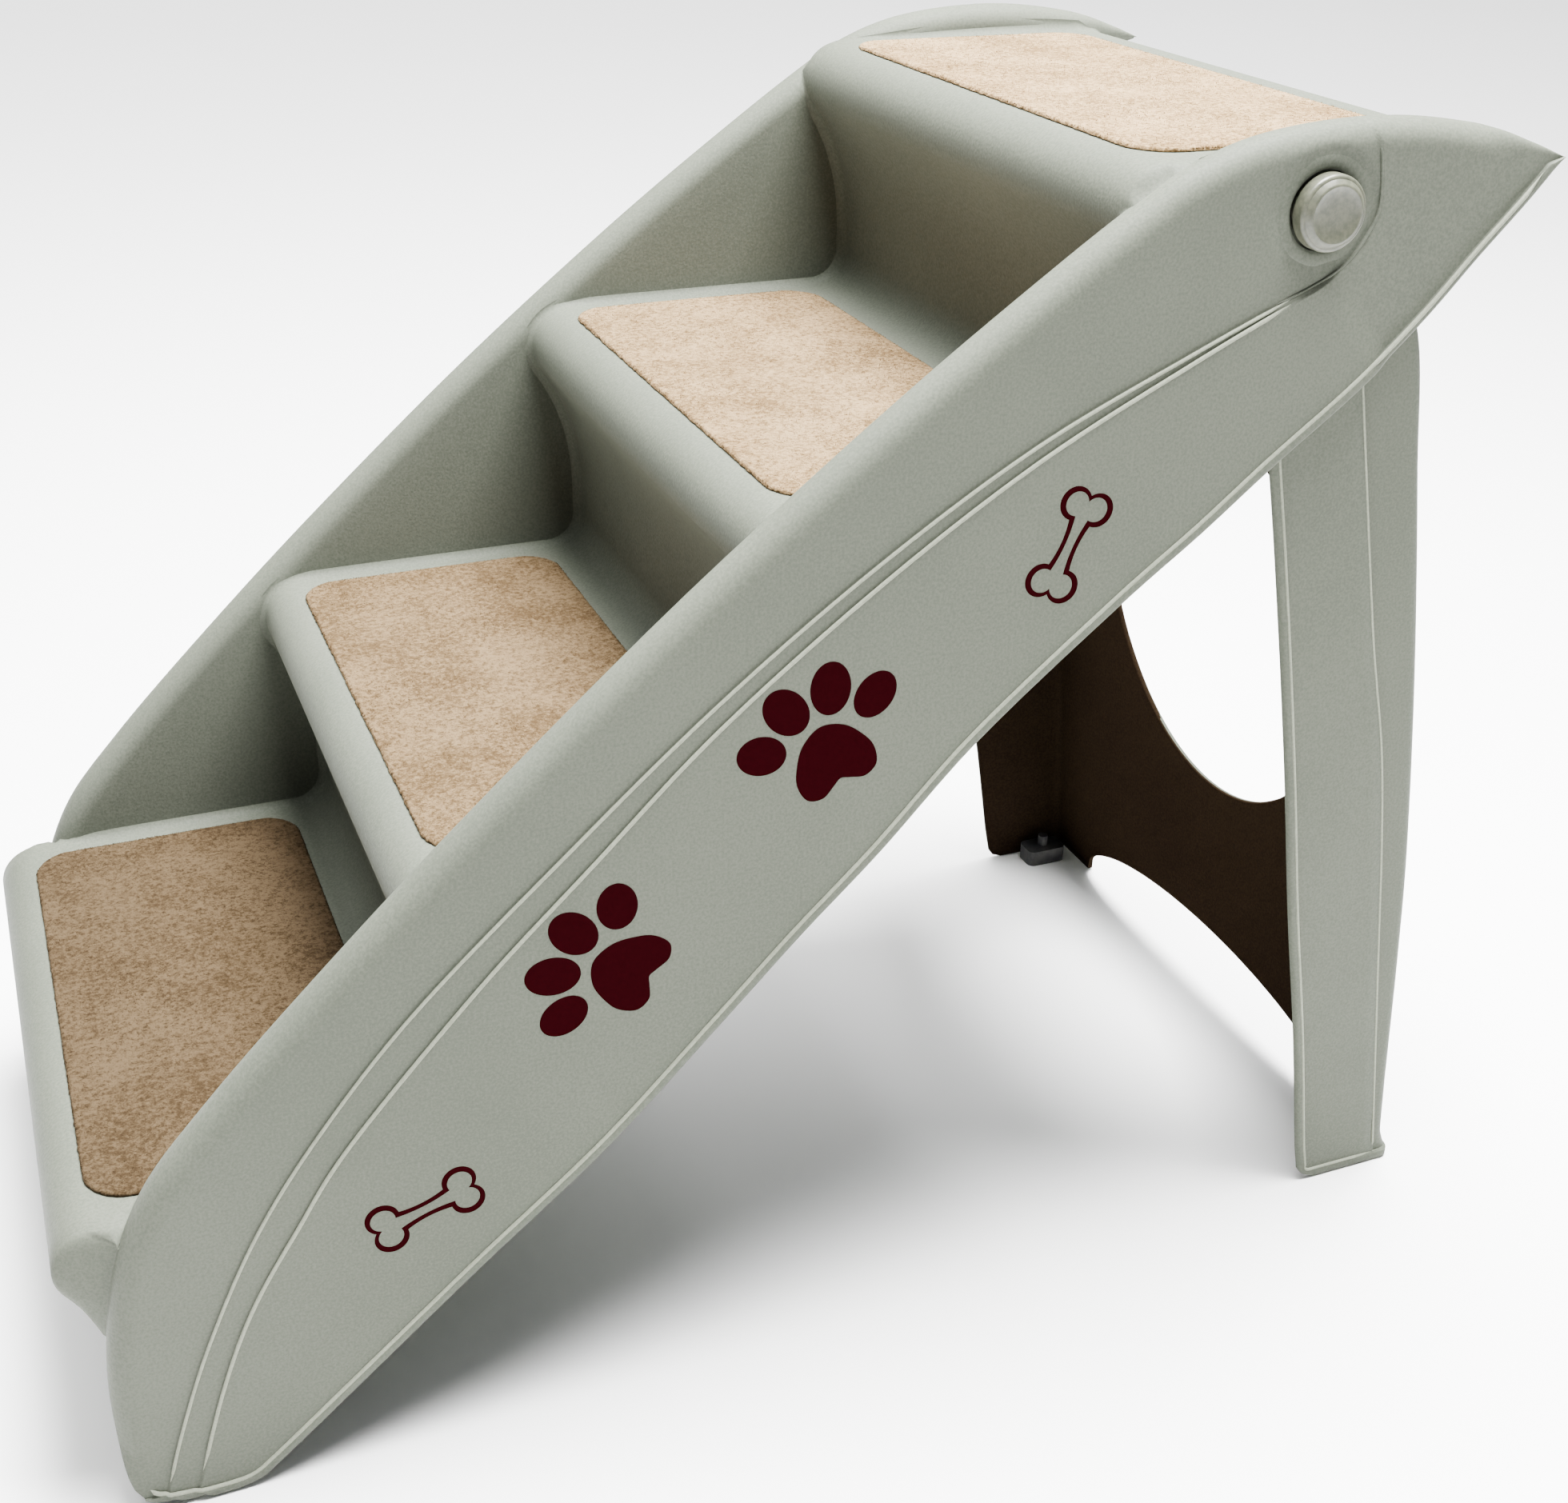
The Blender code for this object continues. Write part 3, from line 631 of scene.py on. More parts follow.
def rail_rounding(u: np.ndarray) -> tuple[np.ndarray, np.ndarray, np.ndarray]:
    """Rounding along the top of a side rail.

    Args:
        u: Increasing places along the slope, or places of the steps' profile.

    Returns:
        Height of the rail's top, width of the rounding and depth of the rounding.
    """
    fine = np.linspace(SLOPE.turned(np.array(TOE))[0], SLOPE.turned(np.array(TIP))[0], 1200)
    top, low = SLOPE.height(RAIL_RUN, fine), SLOPE.height(LOWER_RUN, fine)
    tilt = np.sqrt(1 + np.clip(np.gradient(top, fine), -2.2, 2.2) ** 2)
    radius = np.minimum(RAIL_ROUNDING, np.maximum(top - low, 1e-5) / (2.6 * tilt))
    return (np.interp(u, fine, top), np.interp(u, fine, radius),
            np.interp(u, fine, radius * tilt))


# ------------------------------------------------------------------ the shell
@dataclass
class StairTray:
    """One moulded sheet of treads, noses and risers, filleted into the side rails."""

    finish: bpy.types.Material
    half_width: float = 0.1519
    under_inset: float = 0.004

    @staticmethod
    def edge(normal: np.ndarray) -> tuple[np.ndarray, np.ndarray, np.ndarray]:
        """How the sheet ends at the rails, beside each profile point.

        Args:
            normal: Outward directions of the profile.

        Returns:
            Distance from the middle, length of the bend and its rise, which is negative where
            a nose stands above the rail and has to come down to it.
        """
        u, v = SLOPE.turned(PROFILE)
        top, radius, drop = rail_rounding(u)
        room = top - v
        turn = np.arcsin(np.clip(1 - room / drop, 0.0, 1.0))
        meet = RAIL_INNER + radius * (1 - np.cos(turn))
        rise = np.interp(room, [0.0, 0.003, 0.018], [0.0, 0.0014, 0.0070])
        upright = np.maximum(SLOPE.turned(normal)[1], 0.55)
        rise = np.where(room < 0, (room - 0.0010) / upright, rise)
        length = np.where(room < 0.0005, 0.0090, np.maximum(rise, 0.0015))
        length = np.convolve(np.pad(length, 3, mode="edge"), np.ones(7) / 7, mode="valid")
        rear = PROFILE[:, 0] > APRON_START
        end = np.where(rear, np.minimum(meet, APRON_HALF_WIDTH), meet + LAP)
        rise = np.where(rear, np.clip(rise, 0.0, 0.0015), rise)
        return end, length, rise

    @staticmethod
    def settle(shift: np.ndarray) -> np.ndarray:
        """Let the ends of the lowest nose settle onto the fronts of the rails.

        Args:
            shift: Move of each profile point from the flat of the sheet to its edge.

        Returns:
            The same moves, changed around the lowest nose.
        """
        u, v = SLOPE.turned(PROFILE)
        room = rail_rounding(u)[0] - v
        middle = np.array(LOWEST_NOSE)
        goal = middle + (PROFILE - middle) * SETTLED_SIZE
        rail = RAIL_RUN[RAIL_RUN[:, 0] < RAIL_FRONT_END]
        front = np.interp(goal[:, 1], rail[:, 1], rail[:, 0]) + SETTLED_GAP
        goal[:, 0] = np.maximum(goal[:, 0], front)
        lowest = smoothstep((-room - 0.002) / 0.005) * (PROFILE[:, 0] < TREAD_FRONT[0] + 0.04)
        return shift + (goal - PROFILE - shift) * lowest[:, None]

    def build(self) -> bpy.types.Object:
        """Make the sheet as a tube of sections along the profile.

        Returns:
            The finished object.
        """
        step = np.gradient(PROFILE, axis=0)
        normal = np.stack([-step[:, 1], step[:, 0]], axis=1)
        normal /= np.linalg.norm(normal, axis=1)[:, None]
        end, length, rise = (part[:, None] for part in self.edge(normal))
        turn = np.radians(np.linspace(0, 90, 11))[None, :]
        edge_y = end - length * (1 - np.sin(turn))
        bend = np.where(rise > 0, 1 - np.cos(turn), smoothstep(np.sin(turn)))
        flat = np.linspace(-1, 1, 31)[None, 1:-1] * edge_y[:, :1]
        under = np.linspace(1, -1, 15)[None, :] * (self.half_width - self.under_inset) + 0 * end
        y = np.hstack([-edge_y[:, ::-1], flat, edge_y, end, under, -end])
        share = np.hstack([bend[:, ::-1], 0 * flat, bend, rise < 0, 0 * under, rise < 0])
        depth = np.hstack([0 * bend, 0 * flat, 0 * bend, end * 0 + WALL, 0 * under + WALL,
                           end * 0 + WALL])
        shift = self.settle(normal * rise)
        xz = (PROFILE[:, None, :] + shift[:, None, :] * share[..., None]
              - normal[:, None, :] * depth[..., None])
        rings = np.stack([xz[..., 0], y, xz[..., 1]], axis=-1)
        shape = Surface()
        shape.grid(rings, wrap=True)
        shape.polygon(rings[0])
        shape.polygon(rings[-1])
        obj = shape.build("step_sheet")
        return dress(obj, self.finish, Body.STAIRS, Slot.SHELL, "stair_shell")


@dataclass
class SidePanel:
    """Hollow side rail: inner wall, rounded top, stepped outer wall and a rolled lower lip.

    The panel is a tube of sections, each square to the slope.  Its outer wall steps out twice
    on the way down, along two flowing lines that join under the button.
    """

    finish: bpy.types.Material
    side: float
    word: str
    levels: tuple[float, float, float] = (0.1718, 0.1730, 0.1742)
    line_width: float = 0.0011
    bead: float = 0.0044
    recess_radius: float = 0.0255
    recess_depth: float = 0.0009
    fade_start: float = 0.440

    def stations(self) -> np.ndarray:
        """Places of the sections along the slope, closer together where the shape turns.

        Returns:
            Values of u, in order.
        """
        start, end = SLOPE.turned(np.array(TOE))[0], SLOPE.turned(np.array(TIP))[0]
        u, out = start, []
        while u < end:
            out.append(u)
            fine = u < start + 0.022 or 0.437 < u < 0.500 or u > end - 0.020
            u += 0.0008 if fine else 0.0021
        return np.array([*out, end])

    def relief(self, u: np.ndarray, v: np.ndarray) -> np.ndarray:
        """Level of the outer wall at points of the slope axes.

        Args:
            u: Places along the slope.
            v: Heights square to the slope.

        Returns:
            Distance of the wall from the middle plane.
        """
        base, middle, low = self.levels
        level = base + 0.0 * v
        for run, rise in ((UPPER_LINE, middle - base), (LOWER_LINE, low - middle)):
            line = SLOPE.height(run, u, left=-1.0, right=1.0)
            tilt = np.sqrt(1 + np.clip(np.gradient(SLOPE.height(run, u[:, 0]), u[:, 0]),
                                       -3, 3) ** 2)[:, None]
            below = (line - v) / tilt
            faint = 1 - 0.68 * smoothstep((u - self.fade_start) / 0.012)
            level = level + rise * faint * smoothstep(below / self.line_width + 0.5)
        x, z = SLOPE.world(u, v)
        away = np.hypot(x - PIVOT[0], z - PIVOT[1])
        return level - self.recess_depth * smoothstep((self.recess_radius - away) / 0.0040)

    def build(self) -> bpy.types.Object:
        """Make the panel.

        Returns:
            The finished object.
        """
        u = self.stations()[:, None]
        top, low = SLOPE.height(RAIL_RUN, u), SLOPE.height(LOWER_RUN, u)
        tread = SLOPE.height(PROFILE[PROFILE[:, 0] < 0.275], u)
        tread = np.where(u > 0.5236, low + 0.003, tread)
        height = np.maximum(top - low, 1e-5)
        tilt_top = np.sqrt(1 + np.clip(np.gradient(top[:, 0], u[:, 0]), -2.2, 2.2) ** 2)[:, None]
        tilt_low = np.sqrt(1 + np.clip(np.gradient(low[:, 0], u[:, 0]), -1.6, 1.6) ** 2)
        tilt_low = np.convolve(np.pad(tilt_low, 7, mode="edge"), np.ones(15) / 15, "valid")[:, None]
        radius, drop = rail_rounding(u)[1:]
        shoulder = top - drop
        bead = np.minimum(self.bead * tilt_low, 0.3 * height)
        foot = low + bead

        wall_foot = np.maximum(np.minimum(tread - 0.0015, shoulder - 1e-5), foot)
        turn = np.radians(np.linspace(0, 90, 10))[None, :]
        inner_v = wall_foot + (shoulder - wall_foot) * np.linspace(0, 1, 8)[None, :]
        inner_y = RAIL_INNER + 0 * inner_v
        round_v = shoulder + drop * np.sin(turn)
        round_y = RAIL_INNER + radius * (1 - np.cos(turn))
        over_v = shoulder + drop * np.cos(turn)
        over_y = self.relief(u, over_v) - radius * (1 - np.sin(turn))

        knots = self.row_knots(u, shoulder, foot, height)
        counts = (9, 8, 5, 8, 12)
        rows = [a + (b - a) * (np.arange(1, n + 1) / n)[None, :]
                for a, b, n in zip(knots, knots[1:], counts)]
        wall_v = np.hstack(rows)
        wall_y = self.relief(u, wall_v)

        lip = np.array([(0.96, 0.08), (0.88, 0.75), (0.80, 1.0), (0.55, 1.05), (0.28, 1.0),
                        (0.08, 0.70), (0.0, 0.0), (0.0, -1.1), (0.06, -1.6), (0.2, -1.8)])
        lip_v = low + bead * lip[None, :, 0]
        lip_y = self.relief(u, foot) + 0.0014 * lip[None, :, 1]

        inside = self.levels[0] - 0.0021
        core = np.minimum(WALL * tilt_top, 0.45 * height)
        hollow_top = np.maximum(top - core, lip_v[:, -1:] + 1e-6)
        up = np.linspace(0.1, 1, 7)[None, :]
        rise_v = lip_v[:, -1:] + (np.minimum(shoulder, hollow_top) - lip_v[:, -1:]) * up
        rise_y = inside + 0 * rise_v
        across = np.linspace(0.25, 0.75, 3)[None, :]
        ceiling_y = inside + (RAIL_INNER + WALL - inside) * across + 0 * hollow_top
        ceiling_v = hollow_top + 0 * ceiling_y
        down_v = np.minimum(shoulder, hollow_top) * (1 - up) + wall_foot * up
        down_y = RAIL_INNER + WALL + 0 * down_v

        v = np.hstack([inner_v, round_v, over_v, wall_v, lip_v, rise_v, ceiling_v, down_v])
        y = np.hstack([inner_y, round_y, over_y, wall_y, lip_y, rise_y, ceiling_y, down_y])
        v = np.clip(v, low, top)
        x, z = SLOPE.world(u + 0 * v, v)
        rings = np.stack([x, self.side * y, z], axis=-1)
        shape = Surface()
        shape.grid(rings, wrap=True)
        shape.polygon(rings[0])
        shape.polygon(rings[-1])
        obj = shape.build(f"{self.word}_side_rail")
        cut(obj, 0.0194, 0.1660, 0.1760, self.side)
        obj.data.shade_smooth()
        obj.data.set_sharp_from_angle(angle=math.radians(50))
        return dress(obj, self.finish, Body.STAIRS, Slot.SHELL, "stair_shell")

    def row_knots(self, u: np.ndarray, shoulder: np.ndarray, foot: np.ndarray,
                  height: np.ndarray) -> list[np.ndarray]:
        """Heights that the outer wall's rows follow: its edges and both sides of each line.

        Args:
            u: Places along the slope.
            shoulder: Height of the wall's upper edge.
            foot: Height of its lower edge.
            height: Height between them.

        Returns:
            Heights of each edge, from the top down.
        """
        half = 1.4 * self.line_width
        knots = [shoulder]
        for run in (UPPER_LINE, LOWER_LINE):
            line = SLOPE.height(run, u, left=-1.0, right=1.0)
            line = np.clip(line, foot, shoulder)
            knots += [line + half, line - half]
        knots.append(foot)
        least = np.minimum(0.0004, height / 40)
        for i in range(1, len(knots)):
            knots[i] = np.minimum(knots[i], knots[i - 1] - least)
        for i in range(len(knots) - 2, -1, -1):
            knots[i] = np.maximum(knots[i], knots[i + 1] + least)
        knots[0] = shoulder
        return knots


@dataclass
class ButtonWell:
    """Well and soft rim around a button, and the ear inside that carries the hinge pin."""

    finish: bpy.types.Material
    side: float
    word: str

    def build(self) -> bpy.types.Object:
        """Make the turned pieces.

        Returns:
            The finished object.
        """
        level = 0.1710
        rim = [(0.0208, 0.1666), (0.0208, 0.1700), (0.0212, level - 0.0002), (0.0207, level),
               (0.0190, level + 0.0001), (0.0170, level), (0.0162, level - 0.0003),
               (0.0153, level - 0.0010), (0.0151, level - 0.0020), (0.0151, 0.1664),
               (0.0126, 0.1664), (0.0124, 0.1662), (0.0124, 0.1638), (0.0126, 0.1636),
               (0.0206, 0.1636), (0.0208, 0.1638)]
        well = Surface()
        well.turn(rim, self.side)
        dress(well.build(f"{self.word}_button_well", 40), self.finish, Body.STAIRS, Slot.SHELL,
              "stair_shell")
        ear = Surface()
        ear.turn([(0.0040, 0.1516), (0.0152, 0.1516), (0.0155, 0.1519), (0.0155, 0.1540),
                  (0.0152, 0.1543), (0.0040, 0.1543)], self.side)
        return dress(ear.build(f"{self.word}_pin_ear", 40), self.finish, Body.STAIRS, Slot.SHELL,
                     "stair_shell")


@dataclass
class FootShelf:
    """Small shelf in the hollow of a panel's foot that holds the rubber pad."""

    finish: bpy.types.Material
    side: float
    word: str

    def build(self) -> bpy.types.Object:
        """Make the shelf with rounded corners and a bore for the pad's stud.

        Returns:
            The finished object.
        """
        x0, x1, y0, y1 = -0.2915, -0.2490, 0.1525, 0.1712
        outline = rounded_rectangle(x0, x1, y0, y1, 0.002)
        hole = arc((-0.271, 0.16275), 0.0033, 0.0, 360.0, len(outline))[:-1]
        start = np.argmin(np.hypot(*(outline - np.array([x1, y0 + 0.009])).T))
        outline = np.roll(outline, -start, axis=0)
        rings = []
        for loop, z in ((hole, 0.0102), (outline, 0.0102), (outline, 0.0128), (hole, 0.0128),
                        (hole, 0.0102)):
            rings.append(np.stack([loop[:, 0], self.side * loop[:, 1], 0 * loop[:, 0] + z], 1))
        shape = Surface()
        shape.grid(np.array(rings), wrap=True)
        return dress(shape.build(f"{self.word}_foot_shelf"), self.finish, Body.STAIRS,
                     Slot.SHELL, "stair_shell")


def rounded_rectangle(x0: float, x1: float, y0: float, y1: float, corner: float) -> np.ndarray:
    """Closed outline with rounded corners, run anticlockwise.

    Args:
        x0: Least x.
        x1: Greatest x.
        y0: Least y.
        y1: Greatest y.
        corner: Radius of the corners.

    Returns:
        Array of (x, y) rows, with the first not repeated.
    """
    parts = [arc((cx, cy), corner, a, a + 90.0, 6)
             for cx, cy, a in ((x1 - corner, y0 + corner, -90.0), (x1 - corner, y1 - corner, 0.0),
                               (x0 + corner, y1 - corner, 90.0), (x0 + corner, y0 + corner, 180.0))]
    loop = np.vstack(parts)
    return even(np.vstack([loop, loop[:1]]), 0.003)[:-1]


def dress(obj: bpy.types.Object, finish: bpy.types.Material, body: Body, slot: Slot,
          *nodes: str) -> bpy.types.Object:
    """Give a finished piece its material and body.

    Args:
        obj: The piece.
        finish: Its material.
        body: The body it rides on.
        slot: The record's slot; not used.
        nodes: CAD nodes that it stands for.

    Returns:
        The piece.
    """
    obj.data.materials.clear()
    obj.data.materials.append(finish)
    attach(obj, body.value)
    if nodes:
        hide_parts(*nodes)
    log.info("made %s", obj.name)
    return obj


# ------------------------------------------------------------------ carpets
@dataclass
class TreadCarpet:
    """Glued carpet with rounded corners, a soft cut edge and thousands of standing tufts."""

    finish: bpy.types.Material
    index: int
    half_width: float = 0.14025
    depth: float = 0.127
    corner: float = 0.019
    thickness: float = 0.0016
    tufts_over: int = 15000
    tufts_along_edge: int = 2600

    def outline_reach(self, y: np.ndarray) -> np.ndarray:
        """Half of the depth at each place across, less in the rounded corners."""
        into = np.clip(np.abs(y) - (self.half_width - self.corner), 0.0, self.corner)
        return self.depth / 2 - self.corner + np.sqrt(self.corner ** 2 - into ** 2)

    def build(self) -> bpy.types.Object:
        """Make the carpet as a lofted slab with an uneven top, then plant its tufts.

        Returns:
            The finished object.
        """
        random = np.random.default_rng(40 + self.index)
        x_mid = TREAD_FRONT[self.index] + self.depth / 2
        base = TREAD_TOP[self.index] + 0.0003
        t = np.sin(np.linspace(-math.pi / 2, math.pi / 2, 181))
        y = 0.5 * (t + np.linspace(-1, 1, 181)) * self.half_width
        y[0], y[-1] = -self.half_width, self.half_width
        s = np.linspace(-1, 1, 91)
        s = 0.5 * (s + np.sin(s * math.pi / 2))
        reach = self.outline_reach(y)
        ragged = random.normal(0, 0.00016, (2, len(y)))
        x = s[None, :] * reach[:, None]
        x[:, 0] += ragged[0]
        x[:, -1] += ragged[1]
        yy = y[:, None] + 0 * x
        inset = np.minimum(reach[:, None] - np.abs(x), self.half_width - np.abs(yy))
        edge = np.sqrt(1 - (1 - np.clip(inset / 0.0016, 0, 1)) ** 2)
        wave = 0.00010 * np.sin(x * 61 + self.index) * np.cos(yy * 43)
        top = base + 0.0003 + (self.thickness - 0.0005) * edge + wave * edge
        top += random.normal(0, 0.00004, top.shape) * edge
        upper = np.stack([x_mid + x, yy, top], axis=-1)
        lower = upper.copy()
        lower[..., 2] = base
        shape = Surface()
        shape.grid(upper)
        shape.grid(lower)
        for line in (0, -1):
            shape.grid(np.stack([upper[line], lower[line]]))
            shape.grid(np.stack([upper[:, line], lower[:, line]]))
        node = f"tread_carpet_{self.index + 1}"
        obj = dress(shape.build(f"tread_backing_{self.index + 1}", 60, 1e-7), self.finish,
                    Body.STAIRS, Slot.CARPET, node)
        tufts = self.tufts(random, x_mid, base)
        return obj

    def tufts(self, random: np.random.Generator, x_mid: float,
              base: float) -> bpy.types.Object:
        """Plant leaning three-sided tufts over the top, denser along the cut edge.

        Args:
            random: Seeded generator.
            x_mid: Middle of the carpet along x.
            base: Height of the tread.

        Returns:
            The pile.
        """
        shape = Surface()
        count, edge_count = self.tufts_over, self.tufts_along_edge
        y = random.uniform(-1, 1, count) * (self.half_width - 0.0006)
        x = random.uniform(-1, 1, count) * (self.outline_reach(y) - 0.0006)
        along = random.uniform(0, 2 * math.pi, edge_count)
        ring_y = np.clip(1.35 * np.sin(along), -1, 1) * (self.half_width - 0.0004)
        ring_x = np.clip(1.35 * np.cos(along), -1, 1) * (self.outline_reach(ring_y) - 0.0004)
        x, y = np.append(x, ring_x), np.append(y, ring_y)
        total = len(x)
        lean = random.normal(0, 0.00028, (total, 2))
        size = random.uniform(0.00022, 0.00042, total)
        tip = base + self.thickness + random.uniform(-0.0002, 0.00042, total)
        tip[count:] -= 0.0005
        spin = random.uniform(0, 2 * math.pi, total)
        corners = [np.stack([x_mid + x + size * np.cos(spin + a), y + size * np.sin(spin + a),
                             0 * x + base + 0.0006], axis=1) for a in (0.0, 2.094, 4.189)]
        peak = np.stack([x_mid + x + lean[:, 0], y + lean[:, 1], tip], axis=1)
        first = shape.add(np.stack([*corners, peak], axis=1))
        index = first + 4 * np.arange(total)[:, None]
        for a, b, c in ((0, 1, 3), (1, 2, 3), (2, 0, 3), (2, 1, 0)):
            shape.faces.extend((index + np.array([[a, b, c]])).tolist())
        obj = shape.build(f"tread_pile_{self.index + 1}", 60, 1e-7)
        return dress(obj, self.finish, Body.STAIRS, Slot.CARPET)


# ------------------------------------------------------------------ prints
class Motif(Enum):
    """Generic prints on the side panels."""

    PAW = "paw"
    BONE = "bone"


@dataclass
class Print:
    """A thin print on the outside of a side panel."""

    finish: bpy.types.Material
    motif: Motif
    centre: Point
    angle: float
    side: float
    name: str
    base: float = 0.17395
    face: float = 0.17435

    def place(self, loop: np.ndarray) -> np.ndarray:
        """Turn and move a loop whose first axis points along the motif.

        Args:
            loop: Outline about the origin.

        Returns:
            Outline on the panel, as (x, z) rows.
        """
        a = math.radians(self.angle)
        along, across = np.array([math.cos(a), math.sin(a)]), np.array([-math.sin(a), math.cos(a)])
        return np.array(self.centre) + loop[:, :1] * along + loop[:, 1:] * across

    def plate(self, shape: Surface, loop: np.ndarray, hole: np.ndarray | None = None) -> None:
        """Add a thin plate with a slightly rounded edge, or a band around a hole.

        Args:
            shape: Surface that takes the plate.
            loop: Outer outline about the origin.
            hole: Inner outline of a band.
        """
        loop = self.place(loop)
        middle = loop.mean(axis=0)
        inner = self.place(hole) if hole is not None else middle + (loop - middle) * 0.985
        bands = [(loop, self.base), (loop, self.face - 0.00005),
                 (loop * 0.94 + inner * 0.06, self.face), (loop * 0.06 + inner * 0.94, self.face)]
        if hole is not None:
            bands += [(inner, self.face - 0.00005), (inner, self.base)]
        rings = [np.stack([p[:, 0], 0 * p[:, 0] + self.side * y, p[:, 1]], 1) for p, y in bands]
        shape.grid(np.array(rings + ([rings[0]] if hole is not None else [])), wrap=True)
        if hole is None:
            shape.polygon(rings[0])
            shape.polygon(rings[-1])

    def build(self) -> bpy.types.Object:
        """Make the print.

        Returns:
            The finished object.
        """
        shape = Surface()
        if self.motif is Motif.PAW:
            pad = {0: 15.1, 40: 14.3, 80: 15.1, 105: 17.7, 128: 19.6, 147: 17.5, 163: 12.5}
            polar = [*pad.items(), (180, 10.2)] + [(360 - a, r) for a, r in reversed(pad.items())
                                                   if a]
            loop = [(0.001 * r * math.cos(math.radians(a)), 0.001 * r * math.sin(math.radians(a)))
                    for a, r in polar]
            self.plate(shape, closed_catmull(loop))
            for turn, long, wide in ((-57, 10.2, 8.2), (-19, 11.2, 8.4), (19, 11.2, 8.4),
                                     (57, 10.2, 8.2)):
                a, t = math.radians(turn), np.linspace(0, 2 * math.pi, 49)[:-1]
                e = np.stack([0.0298 + 0.001 * long * np.cos(t), 0.001 * wide * np.sin(t)], 1)
                self.plate(shape, e @ np.array([[math.cos(a), math.sin(a)],
                                                [-math.sin(a), math.cos(a)]]))
        else:
            self.plate(shape, bone_loop(0.0163, 0.0069, 0.0052, 0.0050, 0.0038),
                       bone_loop(0.0163, 0.0050, 0.0045, 0.0031, 0.0019))
        return dress(shape.build(self.name), self.finish, Body.STAIRS, Slot.SHELL)


def bone_loop(reach: float, knob: float, spread: float, neck: float, waist: float) -> np.ndarray:
    """Closed outline of a bone along the first axis.

    Args:
        reach: Distance of the knobs from the middle.
        knob: Radius of each of the four knobs.
        spread: Distance of the knobs from the long axis.
        neck: Half width of the shaft beside the knobs.
        waist: Half width of the shaft in its middle.

    Returns:
        Array of points.
    """
    notch = math.degrees(math.acos(min(1.0, spread / knob)))
    hip = math.degrees(math.asin((spread - neck) / knob))
    lobe = arc((reach, spread), knob, -90.0 + notch, 180.0 + hip, 30)
    shaft_x = np.linspace(lobe[-1, 0], 0.0, 9)[1:]
    edge = lobe[-1, 1]
    shaft = np.stack([shaft_x, waist + (edge - waist) * (shaft_x / lobe[-1, 0]) ** 2], axis=1)
    quarter = np.vstack([lobe, shaft])
    half = np.vstack([quarter, (quarter * [-1, 1])[::-1][1:]])
    return np.vstack([half, (half * [1, -1])[::-1][1:-1]])


# ------------------------------------------------------------------ the rear leg
LEG_OUTER = 0.1690
FOOT_LEVEL = 0.001
EAR_RADIUS = 0.0240
LEG_FRONT = np.vstack([[(0.2640, FOOT_LEVEL), (0.2590, 0.0030), (0.2560, 0.0070)],
                       catmull([(0.2530, 0.0215), (0.2420, 0.090), (0.2290, 0.159),
                                (0.2180, 0.224), (0.2070, 0.284), (0.1960, 0.340),
                                (0.1820, 0.410), (PIVOT[0] - EAR_RADIUS, PIVOT[1])]),
                       arc(PIVOT, EAR_RADIUS, 180.0, 90.0, 16)[1:]])
LEG_REAR = np.vstack([[(0.3115, FOOT_LEVEL), (0.3115, 0.0045), (0.3102, 0.0075)],
                      catmull([(0.3078, 0.0140), (0.3050, 0.048), (0.2998, 0.120),
                               (0.2940, 0.182), (0.2820, 0.270), (0.2660, 0.365),
                               (0.2520, 0.434), (0.2185, 0.4730)]),
                      arc(PIVOT, EAR_RADIUS, -8.0, 90.0, 16)])
BAND_LINE = catmull([(0.3035, 0.001), (0.3010, 0.007), (0.2980, 0.027), (0.2840, 0.125),
                     (0.2750, 0.188), (0.2660, 0.239), (0.2520, 0.295), (0.2330, 0.383),
                     (0.2270, 0.411), (0.2150, 0.460)])
PANEL_TOP = 0.385
TUCK = 0.0006
PANEL_EDGE = 0.1530


def leg_rear_at(z: np.ndarray) -> np.ndarray:
    """Rear face of the leg at each height."""
    return np.interp(z, LEG_REAR[:, 1], LEG_REAR[:, 0])


def paint_inside_shade(obj: bpy.types.Object, inside_painted_shade: bpy.types.Material) -> bpy.types.Object:
    """Give the faces that look into the leg's channel a dark finish: painted shade for the shadow inside the
    channel.

    Args:
        obj: Object to line.
        inside_painted_shade: Dark finish of the inner faces, painted shade for the channel's shadow.

    Returns:
        The same object.
    """
    obj.data.materials.append(inside_painted_shade)
    for face in obj.data.polygons:
        inward = -face.normal.y * math.copysign(1.0, face.center.y)
        within = abs(face.center.y) < LEG_OUTER - 0.0022
        # Forward-facing and inward-facing faces within the channel take the dark finish: painted shade.
        face.material_index = int(within and (face.normal.x < -0.35 or inward > 0.5))
    return obj


